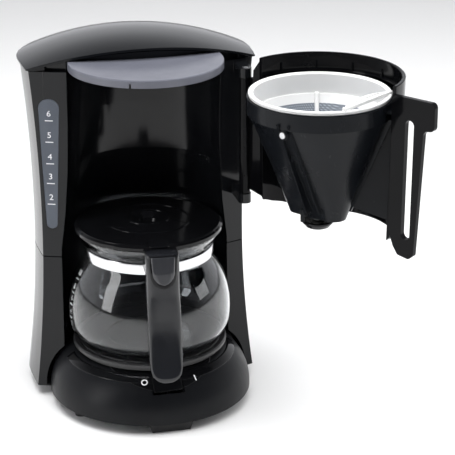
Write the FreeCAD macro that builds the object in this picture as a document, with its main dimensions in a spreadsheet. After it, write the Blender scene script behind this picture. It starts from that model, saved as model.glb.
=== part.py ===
import FreeCAD, Part
import math
import os

import Sketcher
from FreeCAD import Placement, Rotation, Vector

# A small drip coffee maker, in millimetres. The origin is on the jug's axis at table level.
# -Y is the front, +X the right hand side, +Z up. The brewing door stands open at rest.

OUT_DIR = "parts"

# Driving dimensions: name, value, what it is.
DIMENSIONS = (
    ("base_bottom", 8.0, "height of the housing's lower edge above the table"),
    ("seam_height", 106.7, "height of the joint between the lower and upper housing"),
    ("seam_gap", 0.6, "shadow gap at that joint"),
    ("rim_height", 243.8, "upper edge of the upper housing's wall"),
    ("wall", 2.5, "wall thickness of the housing"),
    ("corner_x", 79.0, "half width of the housing at its front corners"),
    ("corner_y", 15.0, "front corners' distance behind the jug's axis"),
    ("side_x", 80.5, "largest half width of the housing"),
    ("middle_y", 45.0, "where the housing is widest"),
    ("front_y", -1.3, "middle of the housing's curved front"),
    ("back_y", 115.0, "back of the housing"),
    ("waist_scale", 0.92, "size of the waist section against the full section"),
    ("waist_height", 125.0, "height of the waist"),
    ("flare_low", 107.0, "distance below the waist over which the section grows to full size"),
    ("flare_high", 118.0, "distance above the waist over which the section grows to full size"),
    ("bay_low_r", 61.5, "radius of the jug's bay"),
    ("bay_high_r", 54.6, "radius of the bay at its ceiling"),
    ("bay_top", 251.4, "ceiling of the bay"),
    ("liner_wall", 2.2, "thickness of the bay's curved wall"),
    ("lid_scale", 1.025, "lid's plan against the housing's full section"),
    ("lid_bottom", 244.4, "lower edge of the lid"),
    ("lid_peak", 262.8, "top of the lid"),
    ("lid_sphere_r", 207.0, "radius of the lid's crown"),
    ("lid_peak_y", 35.0, "where the lid is highest"),
    ("lid_wall", 2.2, "thickness of the lid"),
    ("arch_top", 257.8, "top of the arch over the bay under the lid's front edge"),
    ("arch_r", 238.0, "radius of that arch"),
    ("lid_axis_y", 119.4, "lid hinge behind the jug's axis"),
    ("lid_axis_z", 241.4, "height of the lid hinge"),
    ("cowl_inner_r", 44.0, "radius at which the base cowl's curved side ends"),
    ("cowl_side", 28.0, "width of the base cowl's curved side"),
    ("cowl_foot_z", 10.0, "height where the base cowl is widest"),
    ("cowl_rise", 32.0, "height of the base cowl's curved side"),
    ("cowl_wall", 2.2, "thickness of the base cowl"),
    ("cowl_gap", 3.0, "dark gap between the cowl and the housing's arch"),
    ("cowl_back_y", 22.0, "where the cowl ends inside the housing"),
    ("panel_r", 70.4, "radius of the control panel's lower edge seen from the front"),
    ("panel_z", 101.0, "centre height of that edge"),
    ("plate_r", 50.5, "hot plate radius"),
    ("plate_top", 46.9, "height of the hot plate"),
    ("plate_thick", 2.0, "hot plate thickness"),
    ("ring_r", 55.0, "hot plate trim ring radius"),
    ("ring_bottom", 44.0, "lower edge of the trim ring"),
    ("tube_r", 4.5, "radius of the water heater tube"),
    ("tube_bend_r", 27.0, "bend radius of the water heater tube"),
    ("tube_z", 40.4, "height of the water heater tube's centre line under the plate"),
    ("leg_z", 24.0, "height of the tube's legs where they leave the base cowl"),
    ("tube_end_y", 54.0, "where the heater tube's legs end"),
    ("rod_r", 3.4, "radius of the heating rod"),
    ("rod_bend_r", 37.0, "bend radius of the heating rod"),
    ("hose_r", 5.9, "outer radius of the water hoses"),
    ("hose_bore_r", 4.53, "inner radius of the water hoses"),
    ("tank_bottom", 122.0, "underside of the water tank"),
    ("tank_top", 234.0, "open rim of the water tank"),
    ("tank_wall", 1.8, "wall of the water tank"),
    ("disc_r", 53.8, "shower disc radius"),
    ("disc_thick", 5.4, "shower disc thickness"),
    ("disc_top", 251.4, "shower disc top"),
    ("window_x", 66.3, "level window's centre line from the middle"),
    ("window_low", 128.0, "lower end of the level window"),
    ("window_high", 224.0, "upper end of the level window"),
    ("window_wide", 13.8, "level window's width at its upper end"),
    ("window_narrow", 7.2, "level window's width at its lower end"),
    ("foot_height", 6.8, "height of the feet"),
    ("hinge_x", 69.0, "door hinge from the middle"),
    ("hinge_y", -5.0, "door hinge in front of the jug's axis"),
    ("door_open", 126.5, "angle that the door stands open, in degrees"),
    ("pin_r", 2.0, "door hinge pin radius"),
    ("pin_play", 0.05, "radial clearance of the hinge pins"),
    ("barrel_r", 4.0, "door hinge barrel radius"),
    ("barrel_low", 151.0, "lower end of the door's hinge barrel"),
    ("barrel_high", 235.0, "upper end of the door's hinge barrel"),
    ("skin_top_r", 57.0, "door cover's outer radius at its top"),
    ("skin_low_r", 55.0, "door cover's outer radius at its lower edge"),
    ("skin_top", 251.0, "top of the door cover"),
    ("skin_low", 136.5, "lower edge of the door cover"),
    ("skin_wall", 2.4, "thickness of the door cover"),
    ("grip_low", 137.0, "lower end of the door's handle plate"),
    ("grip_high", 246.0, "upper end of the door's handle plate"),
    ("grip_back_y", -6.0, "back of the handle plate in front of the axis with the door closed"),
    ("grip_thick", 4.2, "thickness of the handle plate"),
    ("cone_r", 49.3, "filter holder's outer radius"),
    ("cone_rim", 236.4, "filter holder's rim height"),
    ("cone_band", 225.0, "lower edge of the filter holder's straight band"),
    ("cone_floor", 152.0, "underside of the filter holder's wedge"),
    ("cone_half", 22.0, "half length of the wedge's lower end"),
    ("cone_wide", 9.0, "half width of the wedge's lower end"),
    ("cone_wall", 1.8, "filter holder's wall"),
    ("spout_r", 8.5, "outlet spout radius"),
    ("spout_low", 151.0, "lower end of the outlet spout"),
    ("valve_r", 10.7, "drip valve head radius"),
    ("valve_low", 140.9, "lowest point of the drip valve"),
    ("stem_r", 2.4, "drip valve stem radius"),
    ("filter_r", 48.0, "permanent filter's rim radius"),
    ("filter_rim", 238.6, "permanent filter's rim height"),
    ("jug_bottom", 47.2, "underside of the jug standing on the plate"),
    ("jug_wall", 1.8, "glass thickness"),
    ("jug_belly_r", 58.2, "largest radius of the jug"),
    ("neck_r", 45.4, "neck radius of the jug"),
    ("band_low", 110.4, "lower edge of the jug's neck band"),
    ("band_high", 118.4, "upper edge of the jug's neck band"),
    ("jug_rim_r", 51.6, "rim radius of the jug"),
    ("jug_rim", 129.6, "rim height of the jug"),
    ("handle_wide", 23.0, "width of the jug's handle"),
    ("handle_turn", -3.6, "handle's angle from straight front, in degrees"),
    ("jug_lid_r", 52.4, "jug lid radius"),
    ("jug_lid_top", 136.0, "highest point of the jug's lid"),
    ("lid_pin_y", 57.5, "jug lid's hinge in front of the axis"),
    ("lid_pin_z", 131.6, "height of the jug lid's hinge"),
)


class Size:
    """A length that carries both its number and the sheet formula it comes from."""

    def __init__(self, number, formula=None):
        self.number = float(number)
        self.formula = formula or "%.6g" % number

    def combine(self, other, sign, result):
        other = other if isinstance(other, Size) else Size(other)
        return Size(result(self.number, other.number), "(%s %s %s)" % (self.formula, sign, other.formula))

    def __add__(self, other):
        return self.combine(other, "+", lambda a, b: a + b)

    def __sub__(self, other):
        return self.combine(other, "-", lambda a, b: a - b)

    def __mul__(self, other):
        return self.combine(other, "*", lambda a, b: a * b)

    def __truediv__(self, other):
        return self.combine(other, "/", lambda a, b: a / b)

    def __neg__(self):
        return Size(0) - self

    def __float__(self):
        return self.number


def size(value):
    return value if isinstance(value, Size) else Size(value)


doc = FreeCAD.newDocument("drip_coffee_maker")
D = {}
parts = {}


def fill_sheet():
    sheet = doc.addObject("Spreadsheet::Sheet", "Dimensions")
    for row, (name, value, note) in enumerate(DIMENSIONS, 1):
        sheet.set("A%d" % row, note)
        sheet.set("B%d" % row, str(value))
        sheet.setAlias("B%d" % row, name)
    doc.recompute()
    for name, _, _ in DIMENSIONS:
        D[name] = Size(sheet.get(name), "Dimensions." + name)


def num(name):
    """The plain number of a driving dimension."""
    return D[name].number


def keep(label, obj):
    """Registers an object of the document as the sub-part called label."""
    obj.Label = label
    parts[label] = obj
    return obj


# ---- parametric helpers ------------------------------------------------------------------------


def place(obj, position=(0, 0, 0), axis=(0, 0, 1), angle=0.0):
    """Puts an object at a position whose coordinates stay bound to the sheet."""
    x, y, z = (size(value) for value in position)
    obj.Placement = Placement(Vector(x.number, y.number, z.number), Rotation(Vector(*axis), angle))
    for letter, value in (("x", x), ("y", y), ("z", z)):
        obj.setExpression("Placement.Base." + letter, value.formula)
    return obj


def primitive(kind, name, **sizes):
    obj = doc.addObject("Part::" + kind, name)
    for prop, value in sizes.items():
        setattr(obj, prop, size(value).number)
        obj.setExpression(prop, size(value).formula)
    return obj


def cylinder(name, radius, height, position=(0, 0, 0), axis=(0, 0, 1), angle=0.0):
    return place(primitive("Cylinder", name, Radius=radius, Height=height), position, axis, angle)


def box(name, length, width, height, position=(0, 0, 0), axis=(0, 0, 1), angle=0.0):
    return place(primitive("Box", name, Length=length, Width=width, Height=height), position, axis, angle)


def join(name, pieces):
    obj = doc.addObject("Part::MultiFuse", name)
    obj.Shapes = pieces
    return obj


def group(name, pieces):
    """Separate identical solids that share one sub-part."""
    obj = doc.addObject("Part::Compound", name)
    obj.Links = pieces
    return obj


def cut(name, base, tool):
    obj = doc.addObject("Part::Cut", name)
    obj.Base = base
    obj.Tool = tool
    return obj


def origin_plane(body, role):
    for feature in body.Origin.OriginFeatures:
        if feature.Role == role:
            return feature
    raise ValueError(role)


def outline_sketch(body, name, role, points):
    """A closed outline whose corners are held by dimensions bound to the sheet."""
    sketch = body.newObject("Sketcher::SketchObject", name)
    sketch.AttachmentSupport = [(origin_plane(body, role), "")]
    sketch.MapMode = "FlatFace"
    corners = [(size(a), size(b)) for a, b in points]
    spots = [Vector(a.number, b.number, 0) for a, b in corners]
    count = len(spots)
    for i in range(count):
        sketch.addGeometry(Part.LineSegment(spots[i], spots[(i + 1) % count]), False)
    for i in range(count):
        sketch.addConstraint(Sketcher.Constraint("Coincident", i, 2, (i + 1) % count, 1))
    for i, corner in enumerate(corners):
        for kind, value in zip(("DistanceX", "DistanceY"), corner):
            index = sketch.addConstraint(Sketcher.Constraint(kind, -1, 1, i, 1, value.number))
            if "Dimensions" in value.formula:
                sketch.setExpression("Constraints[%d]" % index, value.formula)
    return sketch


def new_body(name):
    return doc.addObject("PartDesign::Body", name)


def turned(name, points):
    """A body turned about the Z axis from an outline of radius and height pairs."""
    body = new_body(name)
    sketch = outline_sketch(body, name + "_outline", "XZ_Plane", points)
    turn = body.newObject("PartDesign::Revolution", name + "_turn")
    turn.Profile = sketch
    turn.ReferenceAxis = (sketch, ["V_Axis"])
    turn.Angle = 360.0
    return body


def padded(name, role, points, length, middle=False):
    """A body padded from an outline on one of its own origin planes."""
    body = new_body(name)
    sketch = outline_sketch(body, name + "_outline", role, points)
    pad = body.newObject("PartDesign::Pad", name + "_pad")
    pad.Profile = sketch
    pad.Length = size(length).number
    pad.setExpression("Length", size(length).formula)
    pad.Midplane = middle
    return body


def feature(name, shape):
    obj = doc.addObject("Part::Feature", name)
    obj.Shape = shape
    return obj


def rounded(name, obj, radius, choose):
    """Rounds the edges that choose picks from a finished object."""
    doc.recompute()
    fillet = doc.addObject("Part::Fillet", name)
    fillet.Base = obj
    edges = obj.Shape.Edges
    fillet.Edges = [(i + 1, radius, radius) for i in range(len(edges)) if choose(edges[i])]
    return fillet


# ---- plain geometry helpers --------------------------------------------------------------------


def clean(shape):
    """The single clean solid of a boolean's result."""
    shape = shape.removeSplitter()
    return shape.Solids[0] if len(shape.Solids) == 1 else shape


def slab(low, high, reach=200.0):
    return Part.makeBox(2 * reach, 2 * reach, high - low, Vector(-reach, -reach, low))


def revolved(points, smooth=False):
    """A solid turned about Z from (radius, height) pairs, closed through the axis."""
    spots = [Vector(r, 0, z) for r, z in points]
    if smooth:
        curve = Part.BSplineCurve()
        curve.interpolate(spots)
        edges = [curve.toShape()]
    else:
        edges = [Part.makeLine(a, b) for a, b in zip(spots, spots[1:])]
    top = Vector(0, 0, spots[-1].z)
    bottom = Vector(0, 0, spots[0].z)
    if spots[-1].x > 0:
        edges.append(Part.makeLine(spots[-1], top))
    edges.append(Part.makeLine(top, bottom))
    if spots[0].x > 0:
        edges.append(Part.makeLine(bottom, spots[0]))
    face = Part.Face(Part.Wire(Part.__sortEdges__(edges)))
    solid = face.revolve(Vector(0, 0, 0), Vector(0, 0, 1), 360)
    return solid


def rounded_path(points, bends):
    """Straight runs joined by tangent arcs through a list of corner points."""
    corners = [Vector(*p) for p in points]
    edges = []
    start = corners[0]
    for i in range(1, len(corners) - 1):
        radius = bends[i - 1]
        before = (corners[i - 1] - corners[i]).normalize()
        after = (corners[i + 1] - corners[i]).normalize()
        half = before.getAngle(after) / 2
        reach = radius / math.tan(half)
        entry = corners[i] + before * reach
        leave = corners[i] + after * reach
        centre = corners[i] + (before + after).normalize() * (radius / math.sin(half))
        middle = centre + (corners[i] - centre).normalize() * radius
        edges.append(Part.makeLine(start, entry))
        edges.append(Part.Arc(entry, middle, leave).toShape())
        start = leave
    edges.append(Part.makeLine(start, corners[-1]))
    return Part.Wire(edges)


def pipe(points, bends, radius):
    """A round rod along a path; bends is one bend radius, or one for each corner."""
    if not isinstance(bends, (list, tuple)):
        bends = [bends] * (len(points) - 2)
    path = rounded_path(points, bends)
    first = path.Edges[0]
    heading = first.tangentAt(first.FirstParameter)
    ring = Part.Wire(Part.makeCircle(radius, Vector(*points[0]), heading))
    return path.makePipeShell([ring], True, False)


def hose_shape(points, bend):
    return pipe(points, bend, num("hose_r")).cut(pipe(points, bend, num("hose_bore_r")))


def stadium(half, wide, z):
    """A lozenge with round ends, as four edges that start at its lower right corner."""
    flat = half - wide
    a = Vector(flat, -wide, z)
    b = Vector(flat, wide, z)
    c = Vector(-flat, wide, z)
    d = Vector(-flat, -wide, z)
    return Part.Wire(
        [
            Part.Arc(a, Vector(half, 0, z), b).toShape(),
            Part.makeLine(b, c),
            Part.Arc(c, Vector(-half, 0, z), d).toShape(),
            Part.makeLine(d, a),
        ]
    )


def split_circle(radius, z, share=52.0):
    """A circle in four arcs that match the lozenge's four edges."""
    turn = math.radians(share)
    spots = [turn * -1, turn, math.pi - turn, math.pi + turn]
    middles = [0.0, math.pi / 2, math.pi, -math.pi / 2]

    def at(angle):
        return Vector(radius * math.cos(angle), radius * math.sin(angle), z)

    return Part.Wire(
        [Part.Arc(at(spots[i]), at(middles[i]), at(spots[(i + 1) % 4])).toShape() for i in range(4)]
    )


def wedge(top_r, top_z, low_half, low_wide, low_z):
    """Solid between a circle above and a lozenge below, long along X."""
    return Part.makeLoft([stadium(low_half, low_wide, low_z), split_circle(top_r, top_z)], True, True)


def swing(shape):
    """Turns a door shape that is drawn closed to where the open door holds it."""
    turned_shape = shape.copy()
    turned_shape.rotate(hinge_point(), Vector(0, 0, 1), num("door_open"))
    return turned_shape


def hinge_point():
    return Vector(num("hinge_x"), num("hinge_y"), 0)


def carried(obj, turn, pivot):
    """Turns an object about a vertical line, leaving its own bound position as it is."""
    holder = group(obj.Name + "Placed", [obj])
    holder.Placement = Placement(Vector(0, 0, 0), Rotation(Vector(0, 0, 1), turn), pivot)
    return holder


def on_door(obj):
    """Gives an object that is drawn with the door closed its place on the open door."""
    return carried(obj, num("door_open"), hinge_point())


def on_handle(obj):
    """Turns an object drawn straight in front of the jug to the handle's direction."""
    return carried(obj, num("handle_turn"), Vector(0, 0, 0))


# ---- housing -----------------------------------------------------------------------------------


def section_scale(z):
    rise = z - num("waist_height")
    span = num("flare_high") if rise > 0 else num("flare_low")
    return num("waist_scale") + (1 - num("waist_scale")) * (rise / span) ** 2


def oval_wire(z, scale, inset):
    """The housing's plan: a shallow front arc, two sides and a half oval back."""
    mid_y = num("middle_y")

    def depth(y):
        return mid_y + (y - mid_y) * scale

    corner = Vector(num("corner_x") * scale - inset, depth(num("corner_y")) + inset, z)
    front = Vector(0, depth(num("front_y")) + inset, z)
    side = Vector(num("side_x") * scale - inset, mid_y, z)
    back = depth(num("back_y")) - inset
    run = mid_y - corner.y
    bulge = (run**2 + (side.x - corner.x) ** 2) / (2 * (side.x - corner.x))
    cheek_y = mid_y - run / 2
    cheek = Vector(side.x - bulge + math.sqrt(bulge**2 - (run / 2) ** 2), cheek_y, z)

    def mirror(v):
        return Vector(-v.x, v.y, v.z)

    ellipse = Part.Ellipse(side, Vector(0, back, z), Vector(0, mid_y, z))
    rear = Part.ArcOfEllipse(ellipse, 0, math.pi).toShape()
    edges = [
        Part.Arc(mirror(corner), front, corner).toShape(),
        Part.Arc(corner, cheek, side).toShape(),
        rear,
        Part.Arc(mirror(side), mirror(cheek), mirror(corner)).toShape(),
    ]
    return Part.Wire(Part.__sortEdges__(edges))


def hull(inset):
    """The waisted body of the machine, shrunk by inset all round."""
    levels = (2.0, 32.0, 62.0, 93.0, 125.0, 157.0, 190.0, 225.0, 265.0)
    wires = [oval_wire(z, section_scale(z), inset) for z in levels]
    return Part.makeLoft(wires, True, False)


def bay(grow):
    """The round space that the jug and the filter stand in, open to the front."""
    low = num("bay_low_r") + grow
    high = num("bay_high_r") + grow
    top = num("bay_top") + grow
    points = [(low, -5.0), (low, 112.0), (low - 3.6, 140.0), (high + 1.0, 170.0), (high, 205.0), (high, top)]
    return revolved(points)


def dome(grow):
    """The base cowl's rounded body, grown outwards by grow."""
    inner = num("cowl_inner_r")
    side = num("cowl_side") + grow
    rise = num("cowl_rise") + grow
    foot = num("cowl_foot_z")
    steps = 10
    points = [(inner + side, -5.0), (inner + side, foot)]
    curve = [Vector(inner + side * math.cos(math.pi / 2 * i / steps), 0,
                    foot + rise * math.sin(math.pi / 2 * i / steps)) for i in range(steps + 1)]
    spline = Part.BSplineCurve()
    spline.interpolate(curve, InitialTangent=Vector(0, 0, 1), FinalTangent=Vector(-1, 0, 0))
    bottom = [Vector(r, 0, z) for r, z in points]
    edges = [
        Part.makeLine(Vector(0, 0, -5), bottom[0]),
        Part.makeLine(bottom[0], bottom[1]),
        spline.toShape(),
        Part.makeLine(curve[-1], Vector(0, 0, curve[-1].z)),
        Part.makeLine(Vector(0, 0, curve[-1].z), Vector(0, 0, -5)),
    ]
    face = Part.Face(Part.Wire(edges))
    return face.revolve(Vector(0, 0, 0), Vector(0, 0, 1), 360)


def front_space(grow, back_y):
    """What the housing leaves free: the bay, and the arch for the cowl in front of back_y."""
    front = Part.makeBox(400, 200 + back_y, 120, Vector(-200, -200, -10))
    return bay(grow).fuse(dome(num("cowl_gap") + grow).common(front))


def housing_walls():
    """The housing's walls in one piece, before they are divided at the joint."""
    liner = num("liner_wall")
    back_y = num("cowl_back_y")
    solid = hull(0.0).cut(front_space(0.0, back_y + 2.0))
    hollow = hull(num("wall")).cut(front_space(liner, back_y + 2.0 + liner))
    return solid.cut(hollow)


def window_shape(play):
    """Outline of the level window pushed through the left front wall."""
    high = num("window_wide") / 2 + play
    low = num("window_narrow") / 2 + play
    top = num("window_high") - num("window_wide") / 2
    bottom = num("window_low") + num("window_narrow") / 2
    centre = -num("window_x")
    lean = 0.4
    a = Vector(centre - high, 0, top)
    b = Vector(centre, 0, top + high)
    c = Vector(centre + high, 0, top)
    d = Vector(centre + lean + low, 0, bottom)
    e = Vector(centre + lean, 0, bottom - low)
    f = Vector(centre + lean - low, 0, bottom)
    edges = [
        Part.Arc(a, b, c).toShape(),
        Part.makeLine(c, d),
        Part.Arc(d, e, f).toShape(),
        Part.makeLine(f, a),
    ]
    return Part.Face(Part.Wire(edges)).extrude(Vector(0, 24, 0))


def arch_block(raise_by):
    """Everything above the long arch that the lid's front edge follows."""
    radius = num("arch_r")
    tunnel = Part.makeCylinder(radius, 400, Vector(0, -200, num("arch_top") + raise_by - radius), Vector(0, 1, 0))
    return slab(200, 300).cut(tunnel)


def lid_sphere(shrink):
    centre = Vector(0, num("lid_peak_y"), num("lid_peak") - num("lid_sphere_r"))
    return Part.makeSphere(num("lid_sphere_r") - shrink, centre)


def lower_housing(walls):
    top = num("seam_height") - num("seam_gap") / 2
    shape = walls.common(slab(num("base_bottom"), top))
    gland = Part.makeCylinder(5.2, 30, Vector(0, 90, 24), Vector(0, 1, 0))
    behind = Part.makeBox(200, 100, 120, Vector(-100, num("cowl_back_y") + 5, -60))
    passage = Part.makeCylinder(num("bay_low_r") + 5, 60, Vector(0, 0, -20.4)).common(behind)
    keep("lower_housing", feature("LowerHousing", clean(shape.cut(gland).cut(passage))))


def header():
    """The header over the bay and the rim under the lid, stepped inside the wall."""
    step = num("wall") + 0.8
    thick = 2.2
    rim = hull(step).cut(hull(step + thick)).common(slab(num("rim_height") - 7, 262))
    rim = rim.cut(arch_block(-1.4)).common(lid_sphere(num("lid_wall") + 1.2))
    ledge = hull(1.0).cut(hull(step + thick)).common(slab(num("rim_height") - 7, num("rim_height") - 5))
    return rim.cut(bay(0.0)).fuse(ledge.cut(bay(0.0)))


def hinge_brackets():
    """Two lugs on the right front that carry the door's hinge pins."""
    x = num("hinge_x")
    y = num("hinge_y")
    lugs = []
    for low, high in ((num("barrel_low") - 7.4, num("barrel_low") - 0.4), (num("barrel_high") + 0.4, num("barrel_high") + 7.4)):
        arm = Part.makeBox(9.0, 19.0, high - low, Vector(x - 4.5, y, low))
        eye = Part.makeCylinder(4.5, high - low, Vector(x, y, low))
        hole = Part.makeCylinder(num("pin_r"), high - low, Vector(x, y, low))
        lugs.append(arm.fuse(eye).cut(hole))
    return lugs


def lid_lugs():
    """Two eyes behind the housing that carry the lid's hinge pin."""
    y = num("lid_axis_y")
    z = num("lid_axis_z")
    lugs = []
    for x in (-25.0, 17.5):
        eye = Part.makeCylinder(2.3, 7.5, Vector(x, y, z), Vector(1, 0, 0))
        neck = Part.makeBox(7.5, 3.4, 8.0, Vector(x, y - 1.1, z - 8.0))
        foot = Part.makeBox(7.5, 9.3, 6.0, Vector(x, y - 7.0, z - 10.0))
        hole = Part.makeCylinder(1.25, 7.5, Vector(x, y, z), Vector(1, 0, 0))
        lugs.append(eye.fuse([neck, foot]).cut(hole))
    return lugs


def upper_housing(walls):
    low = num("seam_height") + num("seam_gap") / 2
    shape = walls.common(slab(low, num("rim_height")))
    ceiling = bay(num("liner_wall")).cut(bay(0.0)).common(hull(num("wall") + 0.8)).common(slab(240, 260))
    ceiling = ceiling.common(lid_sphere(num("lid_wall") + 0.8))
    shape = shape.fuse([header(), ceiling] + hinge_brackets() + lid_lugs())
    shape = shape.cut(window_shape(0.15))
    spout = Part.makeCylinder(3.1, 30, Vector(num("tube_bend_r"), 67.5, 248.4), Vector(-7.4, -21.2, 0))
    shape = shape.cut(spout)
    keep("upper_housing", feature("UpperHousing", clean(shape)))


def level_window():
    pane = window_shape(0.0).common(hull(0.0)).cut(hull(num("wall") + 0.6))
    keep("level_window", feature("LevelWindow", clean(pane)))


def top_lid():
    base = num("lid_bottom")
    scale = num("lid_scale")

    def prism(inset):
        face = Part.Face(oval_wire(base, scale, inset))
        return face.extrude(Vector(0, 0, 25))

    wall = num("lid_wall")
    cap = prism(0.0).common(lid_sphere(0.0))
    hollow = prism(wall).common(lid_sphere(wall))
    shell = cap.cut(hollow)
    front = Part.makeBox(400, 12 + 60, 60, Vector(-200, -60, 200))
    tunnel = Part.makeCylinder(num("arch_r"), 400, Vector(0, -200, num("arch_top") - num("arch_r")), Vector(0, 1, 0))
    shell = shell.cut(tunnel.common(front))
    y = num("lid_axis_y")
    z = num("lid_axis_z")
    knuckle = Part.makeCylinder(2.3, 34.0, Vector(-17.0, y, z), Vector(1, 0, 0))
    web = Part.makeBox(30.0, 3.4, 6.0, Vector(-15.0, y - 3.4, z - 1.0))
    hole = Part.makeCylinder(1.25 + num("pin_play"), 34.0, Vector(-17.0, y, z), Vector(1, 0, 0))
    keep("top_lid", feature("TopLid", clean(shell.fuse([knuckle, web]).cut(hole))))


def lid_hinge_pin():
    keep("lid_hinge_pin", cylinder("LidHingePin", 1.25, 50, (-25, D["lid_axis_y"], D["lid_axis_z"]), (0, 1, 0), 90))


def water_tank():
    """The tank wraps round the back and the left of the bay and is open at its top."""

    def mass(inset, low):
        body = hull(num("wall") + 1.5 + inset).common(slab(low, num("tank_top") + inset))
        behind = Part.makeCylinder(77.5 + inset, 300)
        right = Part.makeBox(100, 200, 300, Vector(50 - inset, -50, 0))
        left_arm = Part.makeBox(60, 95, 300, Vector(-105 - inset, 13 + inset, 0))
        centre = behind.cut(left_arm).fuse(Part.makeCylinder(62.5 + inset, 300))
        front = Part.makeBox(400, 100 + 13 + inset, 300, Vector(-200, -100, 0))
        return body.cut(centre).cut(right).cut(front)

    wall = num("tank_wall")
    x = -num("tube_bend_r")
    outer = mass(0.0, num("tank_bottom")).cut(Part.makeCylinder(8.2, 300, Vector(-x, 67.5, 0)))
    inner = mass(wall, num("tank_bottom") + wall).cut(Part.makeCylinder(8.2 + wall, 300, Vector(-x, 67.5, 0)))
    shell = outer.cut(inner.common(slab(0, 400)))
    shell = max(shell.Solids, key=lambda solid: solid.Volume)
    nipple = Part.makeCylinder(4.4, 12.0, Vector(x, 92, num("tank_bottom") - 10))
    hole = Part.makeCylinder(3.0, 14.0, Vector(x, 92, num("tank_bottom") - 10))
    keep("water_tank", feature("WaterTank", clean(shell.fuse(nipple).cut(hole))))


# ---- base --------------------------------------------------------------------------------------


def panel_cutter(play):
    """A long drum that gives the control panel its curved lower edge."""
    return Part.makeCylinder(num("panel_r") + play, 100, Vector(0, -110, num("panel_z")), Vector(0, 1, 0))


def rocker_frame():
    """Origin and directions of the rocker: its axis runs up the cowl's slope."""
    slope = math.radians(50.0)
    inner = num("cowl_inner_r")
    radius = inner + num("cowl_side") * math.cos(slope)
    height = num("cowl_foot_z") + num("cowl_rise") * math.sin(slope)
    out = Vector(0, -math.cos(slope) / num("cowl_side"), math.sin(slope) / num("cowl_rise")).normalize()
    return Vector(0, -radius, height), out


def rocker_place():
    spot, out = rocker_frame()
    return Placement(spot, Rotation(Vector(0, 0, 1), out))


def base_cowl():
    wall = num("cowl_wall")
    shell = dome(0.0).cut(dome(-wall)).common(slab(num("base_bottom"), 60))
    reach = Part.makeBox(400, 200 + num("cowl_back_y"), 100, Vector(-200, -200, -10))
    inside_bay = Part.makeCylinder(num("bay_low_r") - 0.3, 100)
    shell = shell.common(reach.fuse(inside_bay))
    shell = shell.cut(Part.makeCylinder(num("plate_r") + 0.3, 100))
    recess = dome(1.0).cut(dome(-wall + 1.1)).common(panel_cutter(0.0))
    switch_hole = Part.makeBox(22.6, 13.6, 40, Vector(-11.3, -6.8, -20))
    switch_hole.Placement = rocker_place()
    low = dome(0.0).common(panel_cutter(0.0))
    floor = shell.cut(recess.common(low)).cut(switch_hole)
    keep("base_cowl", feature("BaseCowl", clean(floor)))


def control_panel():
    wall = num("cowl_wall")
    skin = dome(0.0).cut(dome(-wall + 1.1)).common(panel_cutter(-0.15))
    skin = skin.cut(Part.makeCylinder(num("plate_r") + 0.3, 100))
    hole = Part.makeBox(21.4, 12.4, 40, Vector(-10.7, -6.2, -20))
    hole.Placement = rocker_place()
    keep("control_panel", feature("ControlPanel", clean(skin.cut(hole))))


def rocker():
    """A rocking key, convex on top, that tips about an axis along its short side."""
    tip = -7.0
    key = Part.makeBox(20.0, 11.0, 7.4, Vector(-10.0, -5.5, -5.0))
    key = key.makeFillet(0.8, [e for e in key.Edges if e.BoundBox.ZMin > 2.0])
    hollow = Part.makeCylinder(46.0, 20, Vector(0, -10, 47.2), Vector(0, 1, 0))
    key = key.cut(hollow)
    pivot = Part.makeCylinder(1.4, 12.6, Vector(0, -6.3, -3.2), Vector(0, 1, 0))
    key = key.fuse(pivot)
    key.rotate(Vector(0, 0, -3.2), Vector(0, 1, 0), tip)
    key.Placement = rocker_place().multiply(key.Placement)
    keep("rocker_switch", feature("RockerSwitch", key))


def switch_housing():
    case = Part.makeBox(22.4, 13.4, 16.0, Vector(-11.2, -6.7, -19.0))
    well = Part.makeBox(21.0, 12.0, 9.0, Vector(-10.5, -6.0, -11.0))
    slots = Part.makeBox(3.2, 14.0, 6.0, Vector(-1.6, -7.0, -4.75))
    tags = [Part.makeBox(0.8, 5.0, 7.0, Vector(x, -2.5, -26.0)) for x in (-7.0, 6.2)]
    case = case.cut(well).cut(slots).fuse(tags)
    case.Placement = rocker_place().multiply(case.Placement)
    keep("switch_housing", feature("SwitchHousing", case))


def bottom_cover():
    low = num("foot_height")
    top = num("base_bottom")
    plan = Part.Face(oval_wire(low, section_scale(top), 2.2)).extrude(Vector(0, 0, top - low))
    disc = Part.makeCylinder(num("cowl_inner_r") + num("cowl_side") - 2.1, top - low, Vector(0, 0, low))
    plate = plan.fuse(disc)
    for x, y in SCREW_SPOTS:
        plate = plate.cut(Part.makeCylinder(1.75, 10, Vector(x, y, low - 2)))
    for x in (-30.0, -15.0, 0.0, 15.0, 30.0):
        vent = Part.makeBox(5.0, 26.0, 10.0, Vector(x - 2.5, -28.0, low - 2))
        plate = plate.cut(vent)
    keep("bottom_cover", feature("BottomCover", clean(plate)))


SCREW_SPOTS = ((-48.0, 52.0), (48.0, 52.0), (-30.0, -46.0), (30.0, -46.0))


def bottom_screws():
    screws = []
    for i, (x, y) in enumerate(SCREW_SPOTS):
        points = ((0, 0), (3.2, 0), (3.2, 1.4), (1.5, 1.4), (1.5, 10), (0, 11.5))
        screw = turned("BottomScrew%d" % i, points)
        place(screw, (x, y, D["foot_height"] - 1.4))
        screws.append(screw)
    keep("bottom_screws", group("BottomScrews", screws))


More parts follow.
